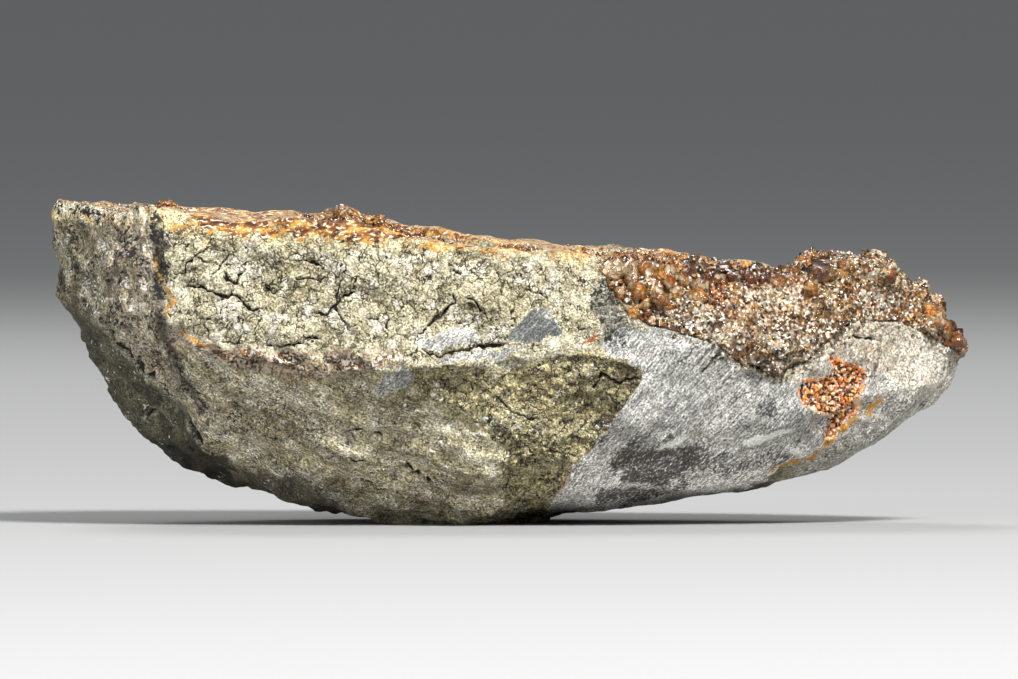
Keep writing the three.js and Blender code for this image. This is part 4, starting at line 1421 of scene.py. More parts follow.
    def lay_rim(self) -> None:
        """The stained strips along the rim, and its top."""
        p = self.points
        x, y, z = p.T
        line = np.array(RIM_LINE)
        depth = np.interp(x, line[:, 0], line[:, 1]) - z
        reach = depth + 1.2 * noise(p, 2.6, 111, 3)
        for start, end, drop, code, glassy in RIM_STRIPS:
            along = ease(x, start - 1, start + 1) * ease(-x, -end - 1, -end + 1)
            cover = along * (1 - ease(reach, drop - 0.4, drop + 0.5))
            self.tint(cover * 0.9, code)
            self.mark("amber", cover * glassy)
            for mark in ("pits", "crackle", "comb"):
                self.clear(mark, cover * 0.8)
            edge = along * (1 - ease(np.abs(reach - drop - 0.4), 0.2, 0.9))
            under = along * ease(reach, drop - 0.3, drop + 0.3) * (1 - ease(reach, drop + 0.8, drop + 3))
            self.tint(under * self.front * 0.5, 0xE8DBAC)
            self.tint(under * self.front * 0.55 * self.blots(2.2, 123, 0.1, 0.5), 0xC99B50)
            self.mark("ochre", edge * self.blots(1.6, 112, 0, 0.5) * 0.7)
        top = ease(self.outward[:, 2], 0.45, 0.8) * ease(5.5 - depth, 0, 2)
        self.tint(top * 0.85, 0x988558)
        self.tint(top * self.blots(6, 113, -0.1, 0.4) * 0.8, 0x85592B)
        self.tint(top * self.blots(2.4, 118, 0.25, 0.65) * 0.7, 0xC2B384)
        stained = ease(x, 20, 26) * ease(-x, -78, -66) * ease(-y, -12, 0)
        self.clear("amber", top)
        self.mark("amber", top * stained * (0.4 + 0.55 * self.blots(4, 121, -0.4, 0.2)))
        self.mark("amber", top * 0.75 * self.blots(5, 122, 0.1, 0.5))
        self.mark("grit", top * 0.2)
        self.mark("pits", top * 0.8)

    def open_cracks(self, depth: float) -> None:
        """Sinks every crack into the skin, between paler lips.

        Args:
            depth: how deep they are, in millimetres.
        """
        lips = ease(self.gap, 0.02, 0.2) * (1 - ease(self.gap, 0.3, 0.8))
        self.tint(lips * 0.25, 0xDDD6C2)
        self.lift(lips, 0.1)
        self.rise -= depth * (1 - ease(self.gap, -0.12, 0.22))


@dataclass
class MudstoneBody:
    """The mudstone: a cracked mud band over an olive belly, a sheared grey slab and a rusty pocket."""

    voxel: float = 0.58 * MM
    triangles: int = 197_000
    crack_depth: float = 0.7
    shrink: float = 0.5
    finish: MudstoneFinish = field(default_factory=MudstoneFinish)

    def build(self) -> Piece:
        """Makes the stone's piece from its solid.

        Returns:
            The finished piece.
        """
        piece = copy_of(STONE_NODE, "mudstone_body", self.voxel)
        self.refine(piece.data, self.is_crumbly)
        self.refine(piece.data, self.is_cracked)
        points, outward = positions(piece.data), normals(piece.data)
        skin = StoneSkin(points, outward)
        skin.lay_all()
        skin.open_cracks(self.crack_depth)
        bare = self.bareness(points)
        moved = points + outward * ((skin.rise - self.shrink) * bare)[:, None]
        moved[:, 2] = np.maximum(moved[:, 2], 0)
        moved[points[:, 2] < 0.02, 2] = 0
        place(piece.data, moved)
        keep_colours(piece.data, "tone", np.clip(skin.tone, 0, 1))
        keep_values(piece.data, "gap", np.clip(skin.gap, -1, 3))
        keep_colours(piece.data, "slate", np.clip(skin.slate, 0, 1))
        keep_values(piece.data, "across", skin.across * MM)
        keep_values(piece.data, "along", skin.along * MM)
        for name, values in skin.marks.items():
            keep_values(piece.data, name, np.clip(values, 0, 1))
        needed = bare * (0.3 + 0.35 * skin.front + 0.35 * (1 - ease(skin.gap, 0.2, 0.5)))
        thin_out(piece, self.triangles, needed)
        piece.data.shade_smooth()
        finish_piece(piece, self.finish.material(), STONE_NODE)
        return piece

    @staticmethod
    def is_crumbly(centres: Array, outward: Array) -> Array:
        """Picks the faces of the front's cracked parts."""
        flat = centres[:, [0, 2]]
        return (outward[:, 1] < -0.1) & (np.maximum(MUD.cover(flat), RECESS.cover(flat)) > 0.5)

    @staticmethod
    def is_cracked(centres: Array, outward: Array) -> Array:
        """Picks the faces along the front's cracks.

        Args:
            centres: the faces' centres.
            outward: their outward directions.

        Returns:
            Which faces are picked.
        """
        skin = Skin(centres, outward)
        skin.crack()
        return (outward[:, 1] < -0.1) & (centres[:, 1] < 0) & (skin.gap < 0.24)

    @staticmethod
    def refine(mesh: Mesh, pick: Callable[[Array, Array], Array]) -> None:
        """Halves the edges of the faces that are picked by their centres and outward directions.

        Args:
            mesh: the mesh.
            pick: says which faces, from those two.
        """
        shape = bmesh.new()
        shape.from_mesh(mesh)
        centres = np.array([face.calc_center_median() for face in shape.faces]) / MM + DATUM
        picked = pick(centres, np.array([face.normal for face in shape.faces]))
        edges = {edge for face, chosen in zip(shape.faces, picked) if chosen for edge in face.edges}
        edges = sorted(edges, key=lambda edge: edge.index)
        bmesh.ops.subdivide_edges(shape, edges=edges, cuts=1, use_grid_fill=True)
        shape.to_mesh(mesh)
        shape.free()

    @staticmethod
    def bareness(points: Array) -> Array:
        """0 where the crust covers the stone, 1 where it doesn't.

        Args:
            points: positions.

        Returns:
            One number for each.
        """
        shape = bmesh.new()
        shape.from_mesh(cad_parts[CRUST_NODE].data)
        tree = BVHTree.FromBMesh(shape)
        shape.free()
        near = [tree.find_nearest(Vector(spot), 2 * MM)[3] for spot in (points - DATUM) * MM]
        return ease(np.array([2 if gap is None else gap / MM for gap in near]), 0.45, 1.4)


# ---- the crust


class Habit(Enum):
    """How a crystal got its shape."""

    GROWN = "grown"
    BROKEN = "broken"
    CLEFT = "cleft"


@dataclass(frozen=True)
class Gem:
    """A crystal shape of unit height, its corners and its triangles."""

    corners: Array
    triangles: Array


def cut_gem(planes: list[tuple[Vector, float]]) -> Gem:
    """Cuts a block down to a crystal by planes.

    Args:
        planes: the outward direction of each face, and its distance from the middle.

    Returns:
        The crystal, standing on z = 0.
    """
    shape = bmesh.new()
    bmesh.ops.create_cube(shape, size=2)
    for direction, reach in planes:
        aim = direction.normalized()
        whole = [*shape.verts, *shape.edges, *shape.faces]
        cut = bmesh.ops.bisect_plane(
            shape, geom=whole, plane_co=aim * reach, plane_no=aim, clear_outer=True
        )
        edges = [e for e in cut["geom_cut"] if isinstance(e, bmesh.types.BMEdge)]
        if edges:
            bmesh.ops.contextual_create(shape, geom=edges)
    bmesh.ops.remove_doubles(shape, verts=shape.verts, dist=1e-4)
    bmesh.ops.recalc_face_normals(shape, faces=shape.faces)
    bmesh.ops.triangulate(shape, faces=shape.faces)
    corners = np.array([v.co for v in shape.verts])
    triangles = np.array([[v.index for v in f.verts] for f in shape.faces])
    shape.free()
    corners[:, 2] -= corners[:, 2].min()
    return Gem(corners / np.ptp(corners[:, 2]), triangles)


def aimed(turn: float, climb: float) -> Vector:
    """A direction by its turn about z and its climb from the flat, in degrees."""
    turn, climb = math.radians(turn), math.radians(climb)
    return Vector((math.cos(turn) * math.cos(climb), math.sin(turn) * math.cos(climb), math.sin(climb)))


def make_gems(habit: Habit, count: int, seed: int) -> list[Gem]:
    """Makes a few crystal shapes of one habit.

    Args:
        habit: grown ones are short prisms with sloping ends, cleft ones are blocks between flat breaks, and
            broken ones have random faces.
        count: how many shapes.
        seed: starts the random numbers.

    Returns:
        The shapes.
    """
    random = np.random.default_rng(seed)
    gems = []
    for _ in range(count):
        if habit is Habit.GROWN:
            width = random.uniform(0.36, 0.56)
            faces = [
                (turn + random.normal(0, 4), 4, width * random.uniform(0.9, 1.1))
                for turn in (37, 143, 217, 323)
            ]
            faces += [(90, 0, width * 1.04), (270, 0, width * random.uniform(0.9, 1.1))]
            faces += [(0, 68 + random.normal(0, 5), 0.8)]
            faces += [(180, 35 + random.normal(0, 6), random.uniform(0.45, 0.7))]
            faces += [(turn, 42 + random.normal(0, 6), random.uniform(0.5, 0.74)) for turn in (118, 242)]
            faces += [(turn, 30, random.uniform(0.5, 0.7)) for turn in (60, 300)]
        elif habit is Habit.CLEFT:
            faces = [
                (turn + random.normal(0, 6), random.normal(0, 12), random.uniform(0.36, 0.52))
                for turn in (8, 98, 188, 278)
            ]
            faces += [(0, 74, 0.5), (180, -70, 0.5)]
            faces += [
                (random.uniform(0, 360), random.uniform(25, 60), random.uniform(0.42, 0.56)) for _ in range(3)
            ]
        else:
            climbs = [math.degrees(math.asin(1.7 * (i + 0.5) / 4 - 0.85)) for i in range(4)]
            faces = [
                (360 * i * 0.618 + random.normal(0, 20), climb, random.uniform(0.3, 0.8))
                for i, climb in enumerate(climbs)
            ]
        gems.append(cut_gem([(aimed(turn, climb), reach) for turn, climb, reach in faces]))
    return gems


@dataclass
class Strewn:
    """Where crystals stand: their feet, the way they point, and their widths and heights."""

    feet: list[Array] = field(default_factory=list)
    aims: list[Array] = field(default_factory=list)
    sizes: list[Array] = field(default_factory=list)

    def add(self, feet: Array, aims: Array, sizes: Array) -> None:
        """Adds crystals, with sizes as (width, height) in millimetres."""
        for rows, row in zip((self.feet, self.aims, self.sizes), (feet, aims, sizes)):
            rows.append(row)

    def rows(self) -> tuple[Array, ...]:
        """All the feet, aims and sizes."""
        return tuple(np.concatenate(rows) for rows in (self.feet, self.aims, self.sizes))

    def tops(self) -> Array:
        """About the highest point of each crystal.

        Returns:
            One position for each.
        """
        feet, aims, sizes = self.rows()
        aims = aims / np.linalg.norm(aims, axis=1, keepdims=True)
        tops = feet + 0.85 * sizes[:, 1:] * np.maximum(aims, (-1, -1, 0))
        tops[:, 2] += 0.45 * sizes[:, 0] * np.sqrt(1 - np.clip(aims[:, 2], -1, 1) ** 2)
        return tops

    def keep(self, kept: Array) -> None:
        """Keeps the chosen crystals only."""
        self.feet, self.aims, self.sizes = ([row[kept]] for row in self.rows())


def strew(name: str, gems: list[Gem], strewn: Strewn, seed: int) -> Piece:
    """Joins many copies of a few crystals in one mesh.

    Args:
        name: the piece's name.
        gems: the shapes to draw from.
        strewn: where the crystals stand.
        seed: starts the random numbers.

    Returns:
        The piece.
    """
    random = np.random.default_rng(seed)
    feet, aims, sizes = strewn.rows()
    aims = aims / np.linalg.norm(aims, axis=1, keepdims=True)
    guide = np.where(np.abs(aims[:, 2:]) < 0.9, [[0, 0, 1]], [[1, 0, 0]])
    side = np.cross(guide, aims)
    side /= np.linalg.norm(side, axis=1, keepdims=True)
    turn = random.uniform(0, 2 * math.pi, (len(feet), 1))
    across = side * np.cos(turn) + np.cross(aims, side) * np.sin(turn)
    frames = np.stack([across, np.cross(aims, across), aims], axis=2)
    kinds = random.integers(0, len(gems), len(feet))
    corners, triangles, start = [], [], 0
    for kind, gem in enumerate(gems):
        picked = kinds == kind
        scale = sizes[picked][:, [0, 0, 1]] * random.uniform(0.85, 1.15, (picked.sum(), 3))
        local = gem.corners[None] * scale[:, None]
        world = np.einsum("nij,nkj->nki", frames[picked], local) + feet[picked][:, None]
        first = start + np.arange(picked.sum())[:, None, None] * len(gem.corners)
        corners.append(world.reshape(-1, 3))
        triangles.append((gem.triangles[None] + first).reshape(-1, 3))
        start += picked.sum() * len(gem.corners)
    corners, triangles = np.concatenate(corners), np.concatenate(triangles)
    mesh = bpy.data.meshes.new(name)
    mesh.vertices.add(len(corners))
    mesh.loops.add(triangles.size)
    mesh.polygons.add(len(triangles))
    mesh.loops.foreach_set("vertex_index", triangles.ravel().astype(np.int32))
    mesh.polygons.foreach_set("loop_start", np.arange(0, triangles.size, 3, dtype=np.int32))
    mesh.update(calc_edges=True)
    place(mesh, corners)
    mesh.validate()
    return new_piece(name, mesh)


# The large amber pieces in the break: x, z, width, height.
MASSES = (
    (100.5, 46.2, 4.5, 5.4), (103.5, 44.8, 4.2, 5), (107, 45.2, 4.6, 5.5), (110.5, 44.2, 4.4, 5),
    (113.6, 44.6, 4.2, 5), (105, 42, 3.2, 4), (108.8, 41.2, 3.4, 4), (112, 41.8, 3, 3.6),
    (116.6, 43.6, 3.4, 4.2), (119.2, 44.2, 3, 4), (122, 44.6, 3, 3.8), (124.8, 44, 3.4, 4.2),
    (127.4, 44, 3, 4), (130, 43.6, 3, 3.8), (132.6, 43.8, 3.2, 4), (137, 44.8, 5, 5.4),
    (136, 42.4, 3.4, 4.4), (138.6, 46, 3.2, 3.4), (104.2, 38.6, 2.8, 3.4), (101.6, 41.6, 2.8, 3.4),
    (157.4, 38.6, 2.8, 4), (159.2, 37, 3, 4), (160.8, 35, 3, 4), (162.2, 32.8, 2.8, 3.8),
    (163, 30.6, 2.4, 3.4), (155.2, 41, 2.4, 3.4), (142, 46.4, 2.4, 3.6), (146, 45.8, 2.2, 3.2),
    (150.4, 44.6, 2.4, 3.4), (99.4, 47.6, 2.8, 3.4), (102, 48, 2.6, 3.2), (106.6, 47.6, 3, 3.6),
    (110, 47, 2.8, 3.4), (114.8, 46, 2.6, 3.4), (106.4, 40, 2.6, 3.2), (110.4, 39.4, 2.4, 3),
    (116, 41.4, 2.6, 3.2), (120.6, 46, 2.6, 3.4), (126, 46, 2.6, 3.2),
)

# The dark blob beside the thick amber of the crest.
CREST_BLOB = Patch(((134.6, 43.4), (138.8, 43), (139.6, 46.4), (138.4, 49), (135.4, 48.6), (134.2, 46)), 0.8)

# Where the broken crust is amber through and through, and where it is white instead.
AMBER_SPOTS = (
    Swell(102, 46.4, (4.5, 4), 0.9), Swell(111.5, 45.5, (6, 4), 0.85), Swell(118, 42, (4, 3), 0.6),
    Swell(124, 45.4, (12, 2.4), 1.1), Swell(137.2, 46, (2.8, 4), 2.0), Swell(161.5, 36.5, (4, 7), 1.3),
    Swell(146, 45, (6, 3.4), -0.5), Swell(112, 39.5, (7, 3), -0.3), Swell(132, 37, (10, 4), -0.25),
    Swell(150, 40, (8, 3), -0.5), Swell(106, 38, (4, 3), 0.4),
)


@dataclass
class ColemaniteCrust:
    """The crust: fine-grained ground, grown crystals in the vug, broken masses and grains at the right."""

    voxel: float = 0.5 * MM
    triangles: int = 120_000
    grow: float = 0.24
    overshoot: float = 0.4
    samples: int = 90_000
    vug_centre: tuple[float, float, float] = (77, 0.5, 60)
    vug_reach: tuple[float, float, float] = (62, 31, 35)

    def build(self, stone: Piece) -> None:
        """Makes the crust's pieces.

        Args:
            stone: the finished mudstone, which hides part of the crust.
        """
        ground = self.make_ground()
        points, outward, inside = self.open_places(ground, stone)
        gems = make_gems(Habit.GROWN, 6, 5)
        chips = make_gems(Habit.BROKEN, 8, 6)
        amber, honey, milky = Strewn(), Strewn(), Strewn()
        large, vug, broken = Strewn(), Strewn(), Strewn()
        self.raise_large(ground, large)
        masses = self.set_masses(ground, broken)
        self.line_vug(points, outward, inside, vug)
        away = np.min(np.linalg.norm(points[:, None] - masses[None, :, :3], axis=2) / masses[:, 3], axis=1)
        bare = (away > 1) & ~inside
        self.sugar_break(points[bare], outward[bare], amber, honey, milky)
        self.dust_edge(ground, stone, honey, milky)
        for name, shapes, strewn, finish in (
            ("large_crystals", gems, large, LARGE),
            ("broken_masses", make_gems(Habit.CLEFT, 7, 8), broken, MASS),
            ("vug_crystals", gems, vug, AMBER),
            ("amber_grains", chips, amber, AMBER),
            ("honey_grains", chips, honey, HONEY),
            ("milky_grains", chips, milky, MILKY),
        ):
            strewn.keep(self.headroom(strewn.tops()) > -self.overshoot)
            piece = strew(name, shapes, strewn, len(name))
            if finish.toned:
                keep_colours(piece.data, "tone", self.mass_tone(positions(piece.data)))
            finish_piece(piece, finish.material(), CRUST_NODE)

    def depth_in_vug(self, points: Array) -> Array:
        """Below 1 inside the bowl of the vug, above 1 outside it."""
        return np.sqrt((((points - self.vug_centre) / self.vug_reach) ** 2).sum(1))

    def make_ground(self) -> Piece:
        """The crust without its crystals: levelled in the vug, and with the relief of its grain.

        Returns:
            The ground's piece.
        """
        piece = copy_of(CRUST_NODE, "crust_ground", self.voxel)
        points = positions(piece.data)
        inner = 1 - ease(self.depth_in_vug(points), 0.98, 1.06)
        group = piece.vertex_groups.new(name="floor")
        for step in range(1, 11):
            chosen = np.nonzero(np.round(inner * 10) == step)[0]
            group.add(chosen.tolist(), step / 10, "REPLACE")
        level = piece.modifiers.new("level", "SMOOTH")
        level.factor, level.iterations, level.vertex_group = 0.7, 90, "floor"
        settle(piece)
        piece.vertex_groups.clear()
        points, outward = positions(piece.data), normals(piece.data)
        points[:, 2] -= np.maximum(-self.headroom(points), 0) * ease(points[:, 1], 3, 8)
        grain = cells(points, 1.1, 201)
        lean = np.stack([grain.number, grain.number * 5.7 % 1, grain.number * 9.1 % 1], axis=1) - 0.5
        rise = self.grow + 0.45 * (lean * grain.offset).sum(1) + 0.22 * (grain.number - 0.5)
        rise += 0.35 * noise(points, 3.5, 205)
        keep_colours(piece.data, "tone", self.ground_tone(points))
        vug = 1 - ease(self.depth_in_vug(points), 1.0, 1.1)
        pale = 1 - ease(self.amberness(points), -0.1, 0.6) - 0.6 * vug
        keep_values(piece.data, "pale", np.clip(pale, 0, 1))
        place(piece.data, points + outward * rise[:, None])
        thin_out(piece, self.triangles)
        finish_piece(piece, GroundFinish().material(), CRUST_NODE)
        return piece

    def ground_tone(self, points: Array) -> Array:
        """The ground's colour: golden in the vug, amber brown along the crest, paler towards the foot.

        Args:
            points: positions.

        Returns:
            One colour for each.
        """
        height = points[:, 2] + 2.5 * noise(points, 4, 211)
        low = 1 - ease(height - np.interp(points[:, 0], [97, 134, 165], [41, 36, 33]), -3, 3)
        vug = 1 - ease(self.depth_in_vug(points), 1.0, 1.1)
        amber = ease(self.amberness(points), 0.2, 0.8)
        return layered(
            0x8E6A43,
            ((1 - low) * 0.75, 0xA2763E),
            (low * 0.8, 0x6F5F49),
            (ease(noise(points, 2.4, 212), 0.2, 0.6) * 0.75, 0xC9B79A),
            (ease(noise(points, 5, 213), 0.1, 0.7) * (1 - low) * 0.7, 0x87430F),
            (amber * 0.9, 0xA25C18),
            (self.crest(points) * 0.9, 0x341A0A),
            (vug * 0.95, 0xB87A30),
            (vug * ease(noise(points, 6, 214), 0, 0.7) * 0.7, 0xE0B060),
        )

    @staticmethod
    def crest(points: Array) -> Array:
        """The dark, thick amber under the middle of the crest, and the blob beside it.

        Args:
            points: positions.

        Returns:
            How far each is in it, from 0 to 1.
        """
        flat = points[:, [0, 2]] + np.stack([noise(points, 2.4, 217 + i) for i in (0, 1)], axis=1)
        band = ease(flat[:, 0], 111, 114) * ease(-flat[:, 0], -135, -132) * ease(flat[:, 1], 43.2, 44.6)
        return np.maximum(band, CREST_BLOB.cover(flat))

    def mass_tone(self, points: Array) -> Array:
        """The colour of the large pieces: pale honey at the left, amber, and dark under the crest.

        Args:
            points: positions.

        Returns:
            One colour for each.
        """
        pale = (1 - ease(points[:, 0], 103, 105.5)) * ease(points[:, 2], 42, 44)
        return layered(
            0xCE8636,
            (ease(noise(points, 4, 219), -0.1, 0.4) * 0.7, 0xA65212),
            (ease(noise(points, 3, 220), 0.1, 0.5) * 0.6, 0xE8B468),
            (pale, 0xEBC691),
            (self.crest(points) * 0.9, 0x5A2408),
        )

    @staticmethod
    def amberness(points: Array) -> Array:
        """How amber the broken crust is at each point: about 0 for honey, 1 for amber, below 0 for white."""
        spots = np.sum([spot.relief(points[:, [0, 2]]) for spot in AMBER_SPOTS], axis=0)
        return spots + 0.35 * noise(points, 5, 215) + 0.3 * noise(points, 1.8, 216, 2)

    @staticmethod
    def headroom(points: Array) -> Array:
        """How far each point lies under the skyline."""
        line = np.array(SKYLINE)
        return np.interp(points[:, 0], line[:, 0], line[:, 1]) - points[:, 2] - 0.018 * points[:, 1]

    def open_places(self, ground: Piece, stone: Piece) -> tuple[Array, Array, Array]:
        """Finds where the crust is open to the air.

        Args:
            ground: the crust's ground.
            stone: the mudstone around it.

        Returns:
            Points spread over the open surface, their outward directions, and which are in the vug.
        """
        random = np.random.default_rng(31)
        mesh = ground.data
        mesh.calc_loop_triangles()
        points = positions(mesh)
        corners = np.array([t.vertices[:] for t in mesh.loop_triangles])
        a, b, c = (points[corners[:, i]] for i in range(3))
        across = np.cross(b - a, c - a)
        area = np.linalg.norm(across, axis=1)
        picked = random.choice(len(area), self.samples, p=area / area.sum())
        u, v = random.uniform(size=(2, len(picked)))
        u, v = np.where(u + v > 1, (1 - u, 1 - v), (u, v))
        spots = a[picked] + u[:, None] * (b - a)[picked] + v[:, None] * (c - a)[picked]
        aims = across[picked] / area[picked][:, None]
        tree = tree_of(stone.data)
        open_air = np.array([
            tree.ray_cast(to_metres(spot + aim * 0.05), Vector(aim), 5 * MM)[0] is None
            and tree.find_nearest(to_metres(spot))[3] > 0.35 * MM
            for spot, aim in zip(spots, aims)
        ])
        spots, aims = spots[open_air], aims[open_air]
        inside = (self.depth_in_vug(spots) < 1.07) & (aims[:, 2] > -0.3)
        return spots, aims, inside

    @staticmethod
    def spaced(spots: Array, apart: Array) -> Array:
        """Picks places in their order that keep a distance from each other.

        Args:
            spots: positions in millimetres.
            apart: the distance that each keeps.

        Returns:
            The indices of the places that stay.
        """
        size = float(apart.max())
        taken: dict[tuple[int, int, int], list[int]] = {}
        kept = []
        for index, spot in enumerate(spots):
            home = tuple(int(v) for v in np.floor(spot / size))
            near = (
                other
                for step in NEIGHBOURS
                for other in taken.get((home[0] + step[0], home[1] + step[1], home[2] + step[2]), ())
            )
            if all(((spots[other] - spot) ** 2).sum() > apart[index] ** 2 for other in near):
                taken.setdefault(home, []).append(index)
                kept.append(index)
        return np.array(kept)

    def raise_large(self, ground: Piece, grown: Strewn) -> None:
        """Stands a clear crystal on each of the solid's own crystals in the vug.

        Args:
            ground: the crust's ground.
            grown: takes the crystals.
        """
        tree = tree_of(ground.data)
        tips = np.unique(np.round(positions(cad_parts[CRUST_NODE].data), 3), axis=0)
        tips = tips[self.depth_in_vug(tips) < 0.97]
        tips[:, 2] += np.minimum(self.headroom(tips) - 1.1, 0)
        feet = np.array([np.array(tree.find_nearest(to_metres(tip))[0]) / MM + DATUM for tip in tips])
        reach = np.linalg.norm(tips - feet, axis=1)
        order = np.argsort(-reach)
        order = order[reach[order] > 1.3]
        kept = order[self.spaced(tips[order], np.full(len(order), 3.4))]
        height = reach[kept] + 1.6
        aims = (tips - feet)[kept] / reach[kept][:, None]
        width = np.clip(height * 0.85, 2.4, 6)
        grown.add(tips[kept] - aims * height[:, None], aims, np.stack([width, height], axis=1))

    @staticmethod
    def set_masses(ground: Piece, broken: Strewn) -> Array:
        """Sets the large amber pieces that show in the break, each by its place and size on the front.

        Args:
            ground: the crust's ground.
            broken: takes them.

        Returns:
            Where each stands, and the radius that it keeps clear of grains.
        """
        tree = tree_of(ground.data)
        random = np.random.default_rng(61)
        clear = []
        for x, z, width, height in MASSES:
            found, normal, _, _ = tree.ray_cast(to_metres(np.array([x, -60, z])), Vector((0, 1, 0)))
            aim = np.array(normal or (0, 0, 1)) * 0.7 + random.normal(0, 0.25, 3) + (0, -0.5, 0.1)
            if found is None or found.y > -2 * MM:
                continue
            aim /= np.linalg.norm(aim)
            spot = np.array(found) / MM + DATUM
            broken.add((spot - aim * height * 0.68)[None], aim[None], np.array([[width * 1.25, height]]))
            clear.append((*spot, width * 0.36))
        return np.array(clear)

    def dust_edge(self, ground: Piece, stone: Piece, honey: Strewn, milky: Strewn) -> None:
        """Strews grains over the stone beside the break, ever fewer away from it.

        Args:
            ground: the crust's ground.
            stone: the mudstone.
            honey: takes half of the grains.
            milky: takes the other half.
        """
        random = np.random.default_rng(71)
        tree = tree_of(ground.data)
        points, outward = positions(stone.data), normals(stone.data)
        front = np.nonzero((points[:, 0] > 97) & (points[:, 2] < 54) & (self.depth_in_vug(points) > 1.05))[0]
        found = [tree.find_nearest(to_metres(points[i]), 3.2 * MM)[3] for i in front]
        away = np.array([9 if gap is None else gap / MM for gap in found])
        chosen = front[random.uniform(size=len(front)) < 0.95 * (1 - ease(away, 0.5, 3.2)) ** 2]
        width = np.clip(random.lognormal(-0.4, 0.4, len(chosen)), 0.35, 1.5)
        kept = self.spaced(points[chosen], 0.6 * width)
        chosen, width = chosen[kept], width[kept]
        size = np.stack([width, width * random.uniform(0.7, 1.2, len(kept))], axis=1)
        feet = points[chosen] - outward[chosen] * 0.6 * size[:, 1:]
        lean = outward[chosen] + random.normal(0, 0.4, (len(kept), 3))
        pale = random.uniform(size=len(kept)) < 0.5
        milky.add(feet[pale], lean[pale], size[pale])
        honey.add(feet[~pale], lean[~pale], size[~pale])

    def line_vug(self, points: Array, outward: Array, inside: Array, grown: Strewn) -> None:
        """Covers the vug's floor and walls with grown crystals.

        Args:
            points: places on the open crust.
            outward: their outward directions.
            inside: which are in the vug.
            grown: takes the crystals.
        """
        random = np.random.default_rng(41)
        spots, aims = points[inside], outward[inside]
        width = np.clip(random.lognormal(0.85, 0.4, len(spots)), 1.1, 5.6)
        width = np.minimum(width, np.clip(0.7 * self.headroom(spots), 0.7, 5))
        order = np.argsort(-width)
        kept = order[self.spaced(spots[order], 0.72 * width[order])]
        width = width[kept]
        lean = aims[kept] + random.normal(0, 0.38, (len(kept), 3))
        height = width * random.uniform(0.8, 1.5, len(kept))
        grown.add(spots[kept] - aims[kept] * 0.35 * height[:, None], lean, np.stack([width, height], axis=1))

    def sugar_break(self, spots: Array, aims: Array, amber: Strewn, honey: Strewn, milky: Strewn) -> None:
        """Covers the broken surfaces with sugary grains.

        Args:
            spots: places on the open crust.
            aims: their outward directions.
            amber: takes the amber grains.
            honey: takes the honey grains.
            milky: takes the white grains.
        """
        random = np.random.default_rng(51)
        amberness = self.amberness(spots)
        width = np.clip(random.lognormal(-0.5, 0.32, len(spots)), 0.4, 1.3)
        width = width * (1 + 1.2 * ease(amberness, 0.5, 1.4))
        order = np.argsort(-width)
        kept = order[self.spaced(spots[order], 0.85 * width[order])]
        spots, aims, width, amberness = spots[kept], aims[kept], width[kept], amberness[kept]
        lean = aims + random.normal(0, 0.5, (len(kept), 3))
        size = np.stack([width, width * random.uniform(0.8, 1.5, len(kept))], axis=1)
        feet = spots - aims * 0.58 * size[:, 1:]
        kind = amberness + random.normal(0, 0.3, len(kept))
        between = (kind <= 0.35) & (kind > -0.5)
        for strewn, chosen in ((amber, kind > 0.35), (honey, between), (milky, kind <= -0.5)):
            strewn.add(feet[chosen], lean[chosen], size[chosen])


# ---- studio


@dataclass(frozen=True)
class Softbox:
    """A square soft light that looks at the specimen."""

    place: tuple[float, float, float]
    size: float
    power: float

    def build(self, name: str, target: Vector) -> None:
        """Adds the light.

        Args:
            name: its name.
            target: what it looks at.
        """
        data = bpy.data.lights.new(name, "AREA")
        data.size, data.energy = self.size, self.power
        light = bpy.data.objects.new(name, data)
        light.location = self.place
        light.rotation_euler = (target - light.location).to_track_quat("-Z", "Y").to_euler()
        bpy.context.scene.collection.objects.link(light)


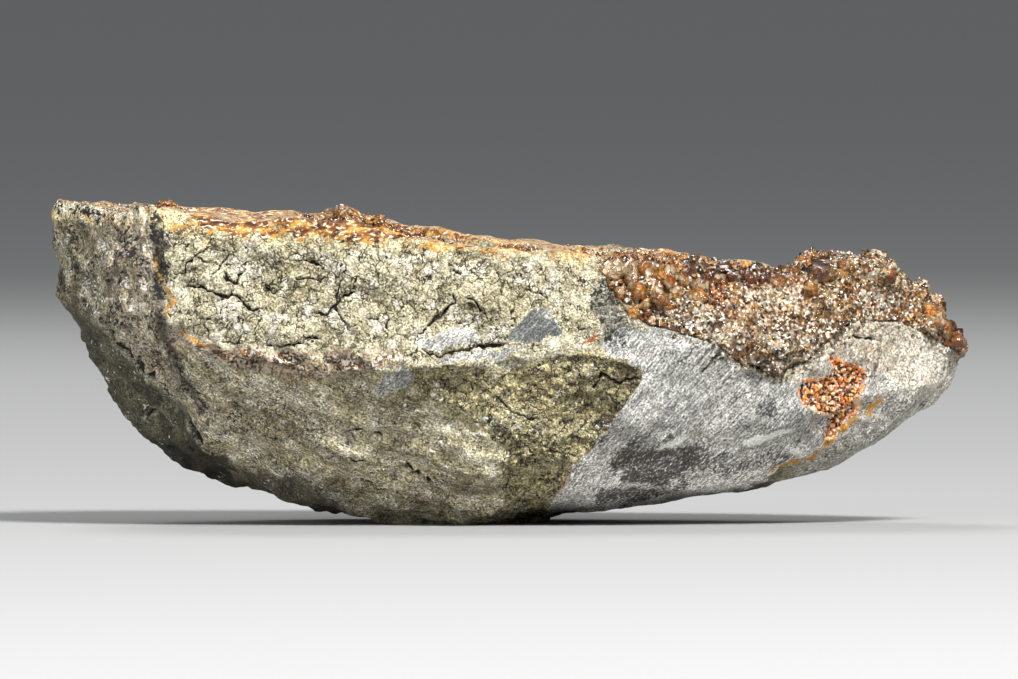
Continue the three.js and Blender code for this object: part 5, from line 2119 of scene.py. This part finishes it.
@dataclass
class Studio:
    """The pale floor, the soft lights and the camera."""

    target: tuple[float, float, float] = (0.0002, 0, 0.03285)
    seen_width: float = 183.24 * MM
    lens: float = 900
    sensor: float = 36
    elevation: float = 1
    floor_radius: float = 30
    key: Softbox = Softbox((0.8, -1.5, 1.85), 0.6, 120)
    fill: Softbox = Softbox((-1.6, -1.9, 0.6), 1.3, 25)
    back: Softbox = Softbox((-0.4, 1.7, 1.5), 0.8, 22)
    sky: float = 0.34
    haze: float = 0.13

    def build(self) -> None:
        """Adds the floor, the lights and the camera."""
        target = Vector(self.target)
        for name in ("key", "fill", "back"):
            getattr(self, name).build(name, target)
        self.lay_floor()
        self.light_world()
        data = bpy.data.cameras.new("camera")
        data.lens, data.sensor_width, data.clip_end = self.lens, self.sensor, 200
        camera = bpy.data.objects.new("camera", data)
        reach = self.lens * self.seen_width / self.sensor
        tilt = math.radians(self.elevation)
        camera.location = target + Vector((0, -math.cos(tilt), math.sin(tilt))) * reach
        camera.rotation_euler = (target - camera.location).to_track_quat("-Z", "Y").to_euler()
        bpy.context.scene.collection.objects.link(camera)
        bpy.context.scene.camera = camera
        bpy.context.scene.view_settings.view_transform = "Standard"

    def lay_floor(self) -> None:
        """Lays the floor."""
        shape = bmesh.new()
        bmesh.ops.create_circle(shape, cap_ends=True, segments=96, radius=self.floor_radius)
        mesh = bpy.data.meshes.new("floor")
        shape.to_mesh(mesh)
        shape.free()
        floor = new_piece("floor", mesh)
        w = Wiring("floor_finish")
        paper = w.node("BsdfPrincipled", Base_Color=(0.31, 0.31, 0.307, 1.0), Roughness=0.8)
        mesh.materials.append(w.done(paper))

    def light_world(self) -> None:
        """Gives the room an even, pale light."""
        world = bpy.data.worlds.new("room")
        world.use_nodes = True
        nodes, links = world.node_tree.nodes, world.node_tree.links
        background = nodes["Background"]
        up = nodes.new("ShaderNodeSeparateXYZ")
        links.new(nodes.new("ShaderNodeTexCoord").outputs["Generated"], up.inputs[0])
        shade = nodes.new("ShaderNodeMapRange")
        shade.interpolation_type = "SMOOTHSTEP"
        shade.inputs["From Max"].default_value = 0.5
        shade.inputs["To Min"].default_value, shade.inputs["To Max"].default_value = self.haze, self.sky
        links.new(up.outputs["Z"], shade.inputs["Value"])
        links.new(shade.outputs[0], background.inputs["Strength"])
        background.inputs["Color"].default_value = (0.95, 0.97, 1.0, 1.0)
        bpy.context.scene.world = world


def main() -> None:
    """Builds the specimen and the studio, and reports each piece."""
    logging.basicConfig(level=logging.INFO, format="%(message)s")
    Studio().build()
    stone = MudstoneBody().build()
    ColemaniteCrust().build(stone)


if __name__ == "__main__":
    main()
